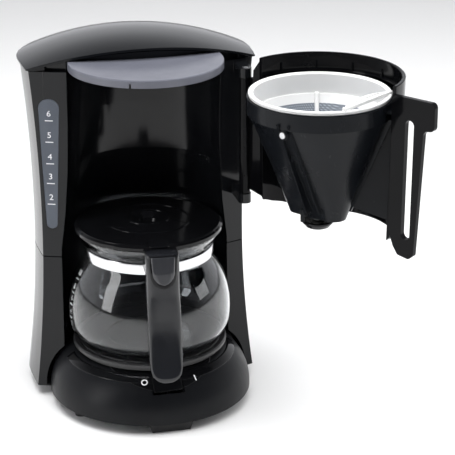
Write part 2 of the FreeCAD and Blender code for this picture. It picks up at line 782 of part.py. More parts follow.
def feet():
    front = ((-13.5, 0), (13.5, 0), (16, D["foot_height"]), (-16, D["foot_height"]))
    body = padded("FrontFoot", "XZ_Plane", front, 10)
    place(body, (1.5, -56, 0))
    keep("front_foot", body)
    low_r = 4.6
    sides = []
    for i, x in enumerate((-55.0, 55.0)):
        foot = turned("SideFoot%d" % i, ((0, 0), (low_r, 0), (5.6, D["foot_height"]), (0, D["foot_height"])))
        sides.append(place(foot, (x, -24, 0)))
    keep("side_feet", group("SideFeet", sides))
    rears = []
    for i, x in enumerate((-48.0, 48.0)):
        foot = turned("RearFoot%d" % i, ((0, 0), (7, 0), (8, D["foot_height"]), (0, D["foot_height"])))
        rears.append(place(foot, (x, 80, 0)))
    keep("rear_feet", group("RearFeet", rears))


def hot_plate():
    top = D["plate_top"]
    low = top - D["plate_thick"]
    edge = D["plate_r"]
    points = (
        (0, low), (edge, low), (edge, top - 0.4),
        (edge - 0.4, top), (31, top), (30, top - 0.6), (0, top - 0.6),
    )
    keep("hot_plate", turned("HotPlate", points))


def hot_plate_ring():
    top = D["plate_top"]
    inner = D["plate_r"]
    outer = D["ring_r"]
    low = D["ring_bottom"]
    points = (
        (inner, top - 0.3), (inner + 0.9, top), (outer - 0.9, top), (outer, top - 0.9), (outer, low),
        (outer - 1.2, low), (outer - 1.2, low + 0.9), (inner + 1.6, low + 0.9), (inner + 1.6, low - 3.0),
        (inner, low - 3.0),
    )
    keep("hot_plate_ring", turned("HotPlateRing", points))


def mirrored_path(half):
    """A path and its mirror image on the other side, joined in front."""
    return half + [(-x, y, z) for x, y, z in reversed(half)]


def heater():
    """The water tube and the heating rod, both bent in a half circle under the plate."""
    bend = num("tube_bend_r")
    high = num("tube_z")
    low = num("leg_z")
    nearly = 0.1
    half = [(-bend, num("tube_end_y"), low), (-bend, 34, low), (-bend, 18, high), (-bend, -bend, high)]
    bends = [8.0, 8.0, bend - nearly, bend - nearly, 8.0, 8.0]
    tube = pipe(mirrored_path(half), bends, num("tube_r"))
    bore = pipe(mirrored_path(half), bends, num("tube_r") - 1.3)
    keep("water_heater_tube", feature("WaterHeaterTube", tube.cut(bore)))
    bend = num("rod_bend_r")
    high = num("tube_z") + num("tube_r") - num("rod_r")
    rod = pipe(mirrored_path([(-bend, 24, high), (-bend, -bend, high)]), bend - nearly, num("rod_r"))
    pins = [Part.makeCylinder(1.2, 6.3, Vector(x, 24, high), Vector(0, 1, 0)) for x in (-bend, bend)]
    keep("heater_rod", feature("HeaterRod", rod.fuse(pins)))


def heater_clamp():
    top = D["tube_z"] - D["tube_r"]
    bar = box("ClampBar", 90, 14, 1.6, (-45, -7, top - 1.6))
    hole = cylinder("ClampHole", 2.1, 10, (0, 0, top - 5))
    keep("heater_clamp", cut("HeaterClamp", bar, hole))
    points = ((0, 0), (4, 0), (4, 2.4), (2.1, 2.4), (2.1, 12.6), (0, 12.6))
    screw = turned("ClampScrew", points)
    place(screw, (0, 0, top - 4.0))
    keep("clamp_screw", screw)


def thermal_parts():
    low = D["plate_top"] - D["plate_thick"] - 0.6
    can = turned("Thermostat", ((0, 0), (7.5, 0), (7.5, 5), (8.5, 5), (8.5, 6.2), (5, 6.2), (5, 9), (0, 9)))
    place(can, (0, 24, low - 9))
    keep("thermostat", can)
    fuse = cylinder("ThermalFuse", 2.0, 12, (-6, -14, low - 2.4), (0, 1, 0), 90)
    keep("thermal_fuse", fuse)


def hoses():
    z = num("leg_z")
    x = num("tube_bend_r")
    cold = [(-x, 46, z), (-x, 92, z), (-x, 92, num("tank_bottom") - 0.5)]
    keep("cold_hose", feature("ColdHose", hose_shape(cold, 14.0)))
    rise = [(x, 46, z), (x, 67.5, z), (x, 67.5, 232)]
    keep("riser_hose", feature("RiserHose", hose_shape(rise, 12.0)))
    valve = cylinder("CheckValve", D["hose_bore_r"] - 0.03, 16, (-D["tube_bend_r"], 60, D["leg_z"]), (1, 0, 0), -90)
    bore = cylinder("CheckValveBore", 2.6, 16, (-D["tube_bend_r"], 60, D["leg_z"]), (1, 0, 0), -90)
    keep("check_valve", cut("CheckValveCut", valve, bore))
    clips = []
    spots = ((-x, 48, z, 1), (x, 48, z, 1), (-x, 92, num("tank_bottom") - 8, 0), (x, 67.5, 225, 0))
    for i, (cx, cy, cz, lying) in enumerate(spots):
        axis = ((0, 0, 1), (1, 0, 0))[lying]
        angle = (0, -90)[lying]
        ring = cylinder("Clip%d" % i, D["hose_r"] + 1.1, 4, (cx, cy, cz), axis, angle)
        hole = cylinder("ClipHole%d" % i, D["hose_r"] + 0.02, 4, (cx, cy, cz), axis, angle)
        clips.append(cut("HoseClip%d" % i, ring, hole))
    keep("hose_clips", group("HoseClips", clips))


def outlet_pipe():
    """From the riser hose over the bay's wall into the shower disc."""
    x = num("tube_bend_r")
    path = [(x, 67.5, 222), (x, 67.5, 248.4), (x - 7.4, 67.5 - 21.2, 248.4)]
    shape = pipe(path, 6.0, 2.9).fuse(Part.makeCylinder(4.4, 12, Vector(x, 67.5, 222)))
    shape = shape.cut(pipe(path, 6.0, 2.0))
    keep("outlet_pipe", feature("OutletPipe", shape))


def shower_disc():
    """A flat box with a ring of drip holes in its floor."""
    top = num("disc_top")
    low = top - num("disc_thick")
    radius = num("disc_r")
    disc = Part.makeCylinder(radius, top - low, Vector(0, 0, low))
    rim_edges = [e for e in disc.Edges if e.BoundBox.ZMin > top - 0.1 and e.BoundBox.XLength > 10]
    disc = disc.makeFillet(0.8, rim_edges)
    under = Part.makeCylinder(radius - 1.6, 1.6, Vector(0, 0, low))
    tray = Part.makeCylinder(30, 2.2, Vector(0, 0, low + 1.4))
    disc = disc.cut(under).fuse(Part.makeCylinder(32, 3.4, Vector(0, 0, low)))
    disc = disc.cut(tray)
    for ring_r, count in ((9.0, 6), (20.0, 12)):
        for i in range(count):
            angle = 2 * math.pi * i / count
            spot = Vector(ring_r * math.cos(angle), ring_r * math.sin(angle), low - 1)
            disc = disc.cut(Part.makeCylinder(1.3, 4, spot))
    notch = Part.makeBox(1.6, 3, 3, Vector(-0.8, -radius - 1, low))
    notch.rotate(Vector(0, 0, 0), Vector(0, 0, 1), -22.5)
    inlet = Part.makeCylinder(2.95, 36, Vector(num("tube_bend_r"), 67.5, 248.4), Vector(-7.4, -21.2, 0))
    keep("shower_disc", feature("ShowerDisc", clean(disc.cut(notch).cut(inlet))))


def cord_gland():
    """The inlet bush that the mains lead passes through, low on the back."""
    points = ((3.6, 0), (5.1, 0), (5.1, 3.4), (7.2, 3.4), (7.2, 6.4), (5.6, 9.0), (3.6, 9.0))
    bush = turned("CordGland", points)
    back = Size(45) + (D["back_y"] - 45) * section_scale(24.0)
    place(bush, (0, back - 2.7, 24), (1, 0, 0), -90)
    keep("cord_gland", bush)


def wiring():
    block = box("TerminalBlock", 24, 10, 9, (-12, 74, D["base_bottom"]))
    keep("terminal_block", block)
    runs = (
        [(-6, 73, 15), (-6, 66, 15), (-37, 50, 15), (-37, 31.4, 15), (-37, 31.4, 41.5)],
        [(6, 73, 15), (6, 66, 15), (37, 50, 15), (37, 31.4, 15), (37, 31.4, 41.5)],
        [(0, 73, 14), (0, -46, 14)],
    )
    leads = [feature("Lead%d" % i, pipe(run, 3.0, 1.1)) for i, run in enumerate(runs)]
    keep("internal_leads", group("InternalLeads", leads))


# ---- door, filter holder and filter -------------------------------------------------------------


def skin_radius(z):
    share = (z - num("skin_low")) / (num("skin_top") - num("skin_low"))
    return num("skin_low_r") + share * (num("skin_top_r") - num("skin_low_r"))


def sector(first, last, radius, low, high):
    """A pie slice between two angles in degrees, used to keep part of a turned shape."""
    steps = 6
    spots = [Vector(0, 0, low)]
    for i in range(steps + 1):
        angle = math.radians(first + (last - first) * i / steps)
        spots.append(Vector(radius * math.cos(angle), radius * math.sin(angle), low))
    spots.append(spots[0])
    return Part.Face(Part.makePolygon(spots)).extrude(Vector(0, 0, high - low))


def door_cover():
    """The curved cover, drawn closed: it goes round the front from the hinge to the handle."""
    low = num("skin_low")
    high = num("skin_top")
    wall = num("skin_wall")
    outer = revolved([(skin_radius(low), low), (skin_radius(high), high)])
    inner = revolved([(skin_radius(low) - wall, low - 1), (skin_radius(high) - wall, high + 1)])
    cover = outer.cut(inner).common(sector(-172.0, -5.5, 90.0, low - 2, high + 2))
    edge = [(24.0, 0.0), (42.7, 3.5), (51.0, 9.5), (54.9, 16.5), (66.0, 20.5), (66.0, -2.0), (24.0, -2.0)]
    spots = [Vector(x, 0, low + up) for x, up in edge]
    ramp = Part.Face(Part.makePolygon(spots + spots[:1])).extrude(Vector(0, -60, 0))
    corner = Part.makePolygon([Vector(-60, 0, low - 2), Vector(-60, 0, low + 9), Vector(-54, 0, low + 8.5),
                               Vector(-46, 0, low), Vector(-46, 0, low - 2), Vector(-60, 0, low - 2)])
    notch = Part.Face(corner).extrude(Vector(0, -40, 0))
    return cover.cut(ramp).cut(notch)


def door_barrel():
    x = num("hinge_x")
    y = num("hinge_y")
    low = num("barrel_low")
    high = num("barrel_high")
    arm_low = num("skin_low") + 18
    barrel = Part.makeCylinder(num("barrel_r"), high - low, Vector(x, y, low))
    spots = [Vector(54.2, y - 1.2, arm_low - 4), Vector(x, y - 1.2, arm_low), Vector(x, y - 1.2, high),
             Vector(63.0, y - 1.2, high), Vector(62.6, y - 1.2, 241.0), Vector(56.5, y - 1.2, 249.5),
             Vector(54.2, y - 1.2, 249.5)]
    arm = Part.Face(Part.makePolygon(spots + spots[:1])).extrude(Vector(0, -2.8, 0))
    hole = Part.makeCylinder(num("pin_r") + num("pin_play"), high - low, Vector(x, y, low))
    return barrel.fuse(arm).cut(hole)


def grip_plate():
    """The flat handle plate beside the cover, with a finger tab and a long slot."""
    back = num("grip_back_y")
    thick = num("grip_thick")
    low = num("grip_low")
    high = num("grip_high")
    outline = [(-54.5, low + 15), (-58.5, low + 4.6), (-62.5, low - 1.2), (-71.6, low - 2.6),
               (-75.2, low + 0.6), (-80, high - 22), (-82, high - 20), (-88.5, high - 19), (-88.5, high),
               (-54.5, high)]
    spots = [Vector(x, back, z) for x, z in outline]
    plate = Part.Face(Part.makePolygon(spots + spots[:1])).extrude(Vector(0, -thick, 0))
    corners = {2: 2.0, 3: 2.5, 4: 2.5, 5: 4.0, 6: 1.5, 7: 3.5, 8: 3.5}
    for i, size in corners.items():
        x, z = outline[i]
        corner = Part.Vertex(x, back, z)
        edges = [e for e in plate.Edges if e.BoundBox.YLength > thick - 0.1 and e.distToShape(corner)[0] < 0.01]
        plate = plate.makeFillet(size, edges)
    plate = plate.makeFillet(0.8, [e for e in plate.Edges if e.BoundBox.YMax < back - thick + 0.1])
    half = 3.5
    top = Vector(-69.1, back + 1, high - 18.5)
    end = Vector(-68.3, back + 1, low + 14.5)
    slot = Part.Face(Part.Wire([
        Part.Arc(top + Vector(half, 0, 0), top + Vector(0, 0, half), top - Vector(half, 0, 0)).toShape(),
        Part.makeLine(top - Vector(half, 0, 0), end - Vector(half, 0, 0)),
        Part.Arc(end - Vector(half, 0, 0), end - Vector(0, 0, half), end + Vector(half, 0, 0)).toShape(),
        Part.makeLine(end + Vector(half, 0, 0), top + Vector(half, 0, 0)),
    ])).extrude(Vector(0, -thick - 2, 0))
    return plate.cut(slot)


def door_shell():
    low = num("skin_low")
    shape = door_cover().fuse([door_barrel(), grip_plate()])
    keep("door_shell", feature("DoorShell", swing(clean(shape))))
    return low


def holder_walls():
    top = num("cone_band")
    floor = num("cone_floor")
    wall = num("cone_wall")
    rim = num("cone_rim")
    radius = num("cone_r")
    outer = wedge(radius - 1.4, top, num("cone_half"), num("cone_wide"), floor)
    outer = outer.fuse(Part.makeCylinder(radius, rim - top, Vector(0, 0, top)))
    inner = wedge(radius - 1.4 - wall, top, num("cone_half") - wall, num("cone_wide") - wall, floor + 2.0)
    inner = inner.fuse(Part.makeCylinder(radius - wall, rim - top + 1, Vector(0, 0, top)))
    spout = Part.makeCylinder(num("spout_r"), 8, Vector(0, 0, num("spout_low")))
    bore = Part.makeCylinder(4.2, 20, Vector(0, 0, num("spout_low") - 1))
    return outer.fuse(spout).cut(inner).cut(bore)


def holder_webs():
    """Flanges and ribs that tie the cone to the cover."""
    rim = num("cone_rim")
    radius = num("cone_r")
    shelf = Part.makeCylinder(skin_radius(rim - 6) - num("skin_wall") - 0.05, 2.0, Vector(0, 0, rim - 6))
    shelf = shelf.cut(Part.makeCylinder(radius - 1.0, 4, Vector(0, 0, rim - 7)))
    shelf = shelf.common(sector(-168.0, -12.0, 90.0, rim - 8, rim))
    webs = [shelf]
    for angle in (-152.0, -118.0, -62.0, -28.0):
        spots = [Vector(20, 0, 160), Vector(52.3, 0, 150), Vector(53.2, 0, rim - 5), Vector(47, 0, rim - 5)]
        web = Part.Face(Part.makePolygon(spots + spots[:1])).extrude(Vector(0, 1.8, 0))
        web.translate(Vector(0, -0.9, 0))
        web.rotate(Vector(0, 0, 0), Vector(0, 0, 1), angle)
        webs.append(web)
    for angle in (-165.0, -15.0):
        spots = [Vector(10, 0, 160), Vector(24, 0, 157), Vector(52.5, 0, 226), Vector(47, 0, 226)]
        blade = Part.Face(Part.makePolygon(spots + spots[:1])).extrude(Vector(0, 1.8, 0))
        blade.rotate(Vector(0, 0, 0), Vector(0, 0, 1), angle)
        webs.append(blade)
    return webs


def face_ribs():
    """A slanting channel of two ribs on the holder's flat side, with a screw boss and a stop peg."""
    pieces = []
    for shift, top_y, low_y in ((-4.9, 51.4, 19.0), (-12.4, 49.5, 15.0)):
        spots = [Vector(shift, 44.0, 229), Vector(shift, top_y, 229), Vector(shift, low_y, 158),
                 Vector(shift, 6.0, 158)]
        rib = Part.Face(Part.makePolygon(spots + spots[:1])).extrude(Vector(1.8, 0, 0))
        pieces.append(rib)
    boss = Part.makeCylinder(3.4, 9.0, Vector(-7.8, 40.0, 222.0), Vector(0, 1, 0))
    peg = Part.makeCylinder(1.5, 9.0, Vector(-0.7, 18.0, 151.6))
    return pieces + [boss, peg.fuse(Part.makeBox(3.0, 8.0, 2.0, Vector(-2.2, 10.0, 155.0)))]


def filter_holder():
    walls = holder_walls()
    inner = wedge(num("cone_r") - 1.4 - num("cone_wall"), num("cone_band"), num("cone_half") - num("cone_wall"),
                  num("cone_wide") - num("cone_wall"), num("cone_floor") + 2.0)
    inner = inner.fuse(Part.makeCylinder(num("cone_r") - num("cone_wall"), 40, Vector(0, 0, num("cone_band"))))
    extras = [piece.cut(inner) for piece in holder_webs() + face_ribs()]
    shape = walls.fuse(extras).cut(Part.makeCompound(screw_shapes()))
    keep("filter_holder", feature("FilterHolder", swing(clean(shape))))


def screw_shapes():
    """Two screws through the shelf, and one in the boss at the top of the channel."""
    front = Part.makeCylinder(2.2, 1.4, Vector(-7.8, 49.0, 222.0), Vector(0, 1, 0))
    front = front.fuse(Part.makeCylinder(1.1, 3.6, Vector(-7.8, 45.4, 222.0), Vector(0, 1, 0)))
    screws = [front]
    for angle in (-135.0, -45.0):
        head = Part.makeCylinder(2.4, 1.6, Vector(50.9, 0, num("cone_rim") - 4.0))
        shank = Part.makeCylinder(1.2, 6.0, Vector(50.9, 0, num("cone_rim") - 10.0))
        screw = head.fuse(shank)
        screw.rotate(Vector(0, 0, 0), Vector(0, 0, 1), angle)
        screws.append(screw)
    return screws


def holder_screws():
    screws = [feature("HolderScrew", swing(screw)) for screw in screw_shapes()]
    keep("holder_screws", group("HolderScrews", screws))


def door_hinge_pins():
    low = cylinder("LowPin", D["pin_r"], 16, (D["hinge_x"], D["hinge_y"], D["barrel_low"] - 7.4))
    high = cylinder("HighPin", D["pin_r"], 16, (D["hinge_x"], D["hinge_y"], D["barrel_high"] - 8.6))
    keep("door_hinge_pins", group("DoorHingePins", [low, high]))


def drip_valve():
    radius = D["valve_r"]
    low = D["valve_low"]
    stem = D["stem_r"]
    points = (
        (0, low), (radius * 0.45, low + 0.8), (radius * 0.8, low + 2.7), (radius, low + 5.4), (radius, low + 6.6),
        (radius - 1, low + 7), (stem, low + 7), (stem, low + 14.8), (0, low + 14.8),
    )
    keep("drip_valve", on_door(turned("DripValve", points)))
    seat = D["cone_floor"] + 2.0
    seal = turned("ValveSeal", ((stem, seat + 0.4), (6.2, seat + 0.4), (6.2, seat + 1.2), (stem, seat + 1.5)))
    keep("valve_seal", on_door(seal))
    foot = D["valve_low"] + 7.4
    points = (
        (2.6, foot), (3.0, foot), (4.6, foot + 1.1), (3.0, foot + 2.2), (2.6, foot + 2.2), (4.2, foot + 1.1),
    )
    keep("valve_spring", on_door(turned("ValveSpring", points)))


def mesh_shell(outer_gap, inner_gap, low, high):
    """A thin layer of the filter's wedge between two distances inside the holder's wall."""
    top = num("cone_band")
    floor = num("cone_floor") + 7.0
    radius = num("cone_r") - 1.4 - num("cone_wall")
    half = num("cone_half") - num("cone_wall")
    wide = num("cone_wide") - num("cone_wall")
    outer = wedge(radius - outer_gap, top, half - outer_gap, wide - outer_gap, floor)
    inner = wedge(radius - inner_gap, top, half - inner_gap, wide - inner_gap, floor)
    return outer.cut(inner).common(slab(low, high))


def permanent_filter():
    rim = num("filter_rim")
    top = num("cone_band")
    floor = num("cone_floor") + 7.0
    window_low = floor + 6.0
    window_high = top - 8.0
    shell = mesh_shell(1.2, 2.6, floor, top)
    tray = wedge(num("cone_r") - 3.2 - 1.2, top, num("cone_half") - 3.0, num("cone_wide") - 3.0, floor)
    shell = shell.fuse(tray.common(slab(floor, floor + 1.4)))
    radius = num("cone_r") - num("cone_wall") - 1.2
    upper = Part.makeCylinder(radius - 0.2, rim - top, Vector(0, 0, top))
    upper = upper.cut(Part.makeCylinder(radius - 1.6, rim - top + 1, Vector(0, 0, top)))
    flange = Part.makeCylinder(num("filter_r"), rim - num("cone_rim") - 0.5, Vector(0, 0, num("cone_rim") + 0.5))
    flange = flange.cut(Part.makeCylinder(radius - 1.6, 4, Vector(0, 0, num("cone_rim"))))
    frame = shell.fuse([upper, flange] + bail_ears())
    for first in (-84.0, -36.0, 12.0, 86.0, 144.0, 198.0):
        window = sector(first, first + 42.0, 90.0, window_low, window_high)
        frame = frame.cut(window)
    keep("filter_frame", feature("FilterFrame", swing(clean(frame))))
    mesh = mesh_shell(2.62, 3.0, window_low - 2.0, window_high + 2.0)
    keep("filter_mesh", feature("FilterMesh", swing(mesh)))


def bail_axis():
    return Vector(-39.5, 0, num("filter_rim") + 1.5)


def bail_ears():
    """Two little uprights on the filter's rim that hold the finger loop."""
    spot = bail_axis()
    ears = []
    for y in (-26.2, 24.4):
        block = Part.makeBox(2.8, 1.8, 3.2, Vector(spot.x - 1.4, y, num("filter_rim") - 0.4))
        ears.append(block.cut(Part.makeCylinder(0.85, 60, Vector(spot.x, -30, spot.z), Vector(0, 1, 0))))
    return ears


def filter_bail():
    """A small dished finger tab folded down on the filter's rim, on the handle side."""
    spot = bail_axis()
    low = spot.z - 1.0
    outline = [(-40.4, 24.1), (-38.6, 24.1), (-34.4, 16.5), (-32.6, 8.0), (-32.6, -8.0), (-34.4, -16.5),
               (-38.6, -24.1), (-40.4, -24.1)]
    spots = [Vector(x, y, low) for x, y in outline]
    loop = Part.Face(Part.makePolygon(spots + spots[:1])).extrude(Vector(0, 0, 2.0))
    dish = Part.makeBox(4.4, 34.0, 1.0, Vector(-39.6, -17.0, low + 1.0))
    loop = loop.cut(dish)
    pins = [Part.makeCylinder(0.8, 4.0, Vector(spot.x, y, spot.z), Vector(0, 1, 0)) for y in (-26.0, 22.0)]
    keep("filter_bail", feature("FilterBail", swing(clean(loop.fuse(pins)))))


# ---- jug ---------------------------------------------------------------------------------------


def jug_outline(inset):
    """Radius and height pairs down the outside of the glass, moved inwards by inset."""
    low = num("jug_bottom")
    belly = num("jug_belly_r")
    neck = num("neck_r")
    outline = [
        (0.72 * belly, low), (0.84 * belly, low + 1.8), (0.93 * belly, low + 6.0), (0.985 * belly, low + 12.5),
        (belly, low + 21.0), (0.992 * belly, low + 31.0), (0.95 * belly, low + 42.0), (0.88 * belly, low + 52.0),
        (neck + 1.6, low + 59.6), (neck, num("band_low") - 0.6), (neck, num("band_high")),
        (neck + 1.4, num("band_high") + 2.6), (num("jug_rim_r") - 1.4, num("jug_rim") - 3.2),
        (num("jug_rim_r"), num("jug_rim")),
    ]
    moved = []
    for i, (r, z) in enumerate(outline):
        r0, z0 = outline[max(i - 1, 0)]
        r1, z1 = outline[min(i + 1, len(outline) - 1)]
        length = math.hypot(r1 - r0, z1 - z0)
        moved.append((r - inset * (z1 - z0) / length, z + inset * (r1 - r0) / length))
    return moved


def carafe_glass():
    wall = num("jug_wall")
    outer = revolved(jug_outline(0.0), smooth=True)
    inside = jug_outline(wall)
    inside[0] = (inside[0][0] - 1.0, num("jug_bottom") + wall)
    inside[-1] = (inside[-1][0], num("jug_rim") + 0.5)
    inner = revolved(inside, smooth=True)
    keep("carafe_glass", feature("CarafeGlass", outer.cut(inner)))


def carafe_band():
    low = D["band_low"]
    high = D["band_high"]
    inner = D["neck_r"] + 0.05
    points = ((inner, low), (inner + 0.9, low), (inner + 0.9, high), (inner, high))
    keep("carafe_band", turned("CarafeBand", points))


def handle_outline():
    """Side view of the handle: distance in front of the jug's axis and height."""
    return (
        (48.0, 109.0), (48.0, 121.5), (53.5, 127.2), (55.0, 134.8), (58.0, 135.6), (69.0, 135.6), (73.6, 133.0),
        (76.2, 126.0), (78.6, 110.0), (82.4, 84.0), (88.4, 58.0), (91.6, 51.5), (90.8, 48.4), (87.6, 47.4),
        (84.0, 50.0), (79.5, 60.0), (73.8, 80.0), (70.6, 96.0), (67.0, 104.5), (62.0, 108.4), (56.0, 109.0),
    )


def carafe_handle():
    points = [(-y, z) for y, z in handle_outline()]
    body = padded("CarafeHandle", "YZ_Plane", points, D["handle_wide"], middle=True)
    pin_room = box("PinRoom", 16, 13, 12.6, (-8, -D["lid_pin_y"] - 4.4, D["lid_pin_z"] - 4.2))
    pin_hole = cylinder("PinHole", 1.0, 20, (-10, -D["lid_pin_y"], D["lid_pin_z"]), (0, 1, 0), 90)
    screw_room = cylinder("ScrewRoom", 1.5, 16, (0, -47, 114.4), (1, 0, 0), 90)
    head_room = cylinder("HeadRoom", 3.4, 30, (0, -58.9, 114.4), (1, 0, 0), 90)
    pocket = box("InsertPocket", 15, 4.7, 24, (-7.5, -81.2, 108.5), (1, 0, 0), -8.5)
    solid = cut("HandleCut", body, join("HandleTools", [pin_room, pin_hole, screw_room, head_room, pocket]))
    keep("carafe_handle", on_handle(solid))


def handle_insert():
    panel = box("InsertPanel", 14.6, 2.4, 23.4, (-7.3, -79.4, 108.8), (1, 0, 0), -8.5)
    keep("handle_insert", on_handle(panel))


def band_screw():
    points = ((0, 0), (3.0, 0), (3.0, 1.6), (1.5, 1.6), (1.5, 12), (0, 12))
    screw = turned("BandScrew", points)
    place(screw, (0, -60.5, 114.4), (1, 0, 0), -90)
    keep("band_screw", on_handle(screw))


def carafe_lid():
    """A shallow domed lid with a drip well in its middle and a thumb lever over the handle."""
    rim = num("jug_rim") + 0.4
    top = num("jug_lid_top")
    radius = num("jug_lid_r")
    outer = [(radius, rim), (radius, rim + 2.2), (radius - 1.4, rim + 3.4), (30.0, top - 1.2), (14.0, top),
             (12.0, top - 3.0), (5.0, top - 5.0), (5.0, top - 6.6)]
    skirt = Part.makeCylinder(46.2, 9.0, Vector(0, 0, rim - 4.4))
    skirt = skirt.cut(Part.makeCylinder(44.8, 9.0, Vector(0, 0, rim - 4.4)))
    cap = revolved(outer[:5])
    hollow = revolved([(radius - 2.0, rim - 1), (radius - 2.6, rim + 1.4), (30.0, top - 3.2), (15.0, top - 2.2)])
    well = revolved([(6.5, rim - 0.4), (8.0, top - 3.4), (13.0, top + 1)])
    funnel = revolved([(8.0, rim - 1.0), (9.6, top - 3.4), (14.8, top - 0.8)]).cut(well)
    drip = Part.makeCylinder(2.4, 20, Vector(0, 0, rim - 8))
    floor = Part.makeCylinder(8.0, 1.4, Vector(0, 0, rim - 1.0)).cut(drip)
    shape = cap.cut(hollow).cut(well).fuse([skirt.common(cap.fuse(slab(rim - 4.4, rim))), funnel, floor])
    y = num("lid_pin_y")
    z = num("lid_pin_z")
    tab = Part.makeBox(15.2, 10.0, 3.4, Vector(-7.6, -y + 0.6, z - 1.0))
    eye = Part.makeCylinder(2.6, 15.2, Vector(-7.6, -y, z), Vector(1, 0, 0))
    lever = Part.makeBox(15.2, 3.0, 2.0, Vector(-7.6, -y - 2.6, z + 0.6))
    hole = Part.makeCylinder(1.0 + num("pin_play"), 15.2, Vector(-7.6, -y, z), Vector(1, 0, 0))
    arm = tab.fuse([eye, lever]).cut(hole)
    arm.rotate(Vector(0, 0, 0), Vector(0, 0, 1), num("handle_turn"))
    keep("carafe_lid", feature("CarafeLid", clean(shape.fuse(arm))))


def carafe_lid_pin():
    pin = cylinder("CarafeLidPin", 1.0, D["handle_wide"] - 3, (-(D["handle_wide"] - 3) / 2, -D["lid_pin_y"],
                                                             D["lid_pin_z"]), (0, 1, 0), 90)
    keep("carafe_lid_pin", on_handle(pin))


# ---- writing -----------------------------------------------------------------------------------


def check_and_write():
    doc.recompute()
    for obj in doc.Objects:
        if "Invalid" in obj.State or "Error" in obj.State:
            raise RuntimeError("%s is in state %s" % (obj.Name, obj.State))
    for name, obj in parts.items():
        if obj.Shape.isNull() or not obj.Shape.isValid():
            raise RuntimeError("%s has no valid shape" % name)
        if obj.Shape.Volume <= 0:
            raise RuntimeError("%s has no volume" % name)
    os.makedirs(OUT_DIR, exist_ok=True)
    for name, obj in parts.items():
        obj.Shape.exportStep(os.path.join(OUT_DIR, name + ".step"))
        print("%-20s %2d solid(s) %10.1f mm3" % (name, len(obj.Shape.Solids), obj.Shape.Volume))


def build():
    fill_sheet()
    walls = housing_walls()
    lower_housing(walls)
    upper_housing(walls)
    level_window()
    top_lid()
    lid_hinge_pin()
    water_tank()
    base_cowl()
    control_panel()
    rocker()
    switch_housing()
    bottom_cover()
    bottom_screws()
    feet()
    hot_plate()
    hot_plate_ring()
    heater()
    heater_clamp()
    thermal_parts()
    hoses()
    outlet_pipe()
    shower_disc()
    cord_gland()
    wiring()
    door_shell()
    filter_holder()
    holder_screws()
    door_hinge_pins()
    drip_valve()
    permanent_filter()
    filter_bail()
    carafe_glass()
    carafe_band()
    carafe_handle()
    handle_insert()
    band_screw()
    carafe_lid()
    carafe_lid_pin()
    check_and_write()


build()
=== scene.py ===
import math

import bmesh
import bpy
from mathutils import Matrix, Vector


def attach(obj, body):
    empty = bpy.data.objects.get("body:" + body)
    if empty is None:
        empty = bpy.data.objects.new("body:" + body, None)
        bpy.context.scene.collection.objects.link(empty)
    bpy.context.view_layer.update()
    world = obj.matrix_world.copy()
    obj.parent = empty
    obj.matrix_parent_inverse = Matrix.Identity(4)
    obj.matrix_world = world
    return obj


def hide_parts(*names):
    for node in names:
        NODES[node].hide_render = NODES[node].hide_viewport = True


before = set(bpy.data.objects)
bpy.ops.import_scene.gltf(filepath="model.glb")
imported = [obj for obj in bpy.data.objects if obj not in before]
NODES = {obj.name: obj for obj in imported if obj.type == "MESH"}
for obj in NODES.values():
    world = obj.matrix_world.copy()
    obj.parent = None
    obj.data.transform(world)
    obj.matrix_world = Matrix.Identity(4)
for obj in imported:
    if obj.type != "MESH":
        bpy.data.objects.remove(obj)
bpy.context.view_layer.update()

MM = 0.001


def about_z(degrees):
    return Matrix.Rotation(math.radians(degrees), 4, "Z")


DOOR_OPEN = 126.5        # degrees between the door's drawn place, shut, and its rest place, open
HANDLE_ANGLE = -3.6      # degrees that the jug's handle is turned from straight front
HINGE = Vector((0.069, -0.005, 0.0))
DOOR_TURN = Matrix.Translation(HINGE) @ about_z(DOOR_OPEN) @ Matrix.Translation(-HINGE)
HANDLE_TURN = about_z(HANDLE_ANGLE)


# ---- materials ---------------------------------------------------------------------------------


def new_material(name):
    mat = bpy.data.materials.new(name)
    mat.use_nodes = True
    tree = mat.node_tree
    return mat, tree, tree.nodes["Principled BSDF"]


def link(tree, source, target):
    tree.links.new(source, target)


def noise(tree, scale, detail=3.0, rough=0.55, stretch=None):
    """Noise in object space, so that its grain keeps its real size."""
    coords = tree.nodes.new("ShaderNodeTexCoord")
    node = tree.nodes.new("ShaderNodeTexNoise")
    node.inputs["Scale"].default_value = scale
    node.inputs["Detail"].default_value = detail
    node.inputs["Roughness"].default_value = rough
    if stretch:
        mapping = tree.nodes.new("ShaderNodeMapping")
        mapping.inputs["Scale"].default_value = stretch
        link(tree, coords.outputs["Object"], mapping.inputs["Vector"])
        link(tree, mapping.outputs["Vector"], node.inputs["Vector"])
    else:
        link(tree, coords.outputs["Object"], node.inputs["Vector"])
    return node


def ranged(tree, source, low, high, from_low=0.3, from_high=0.7):
    node = tree.nodes.new("ShaderNodeMapRange")
    node.inputs["From Min"].default_value = from_low
    node.inputs["From Max"].default_value = from_high
    node.inputs["To Min"].default_value = low
    node.inputs["To Max"].default_value = high
    link(tree, source, node.inputs["Value"])
    return node.outputs["Result"]


def mixed(tree, factor, first, second):
    node = tree.nodes.new("ShaderNodeMix")
    node.data_type = "RGBA"
    node.inputs["A"].default_value = (*first, 1)
    node.inputs["B"].default_value = (*second, 1)
    link(tree, factor, node.inputs["Factor"])
    return node.outputs["Result"]


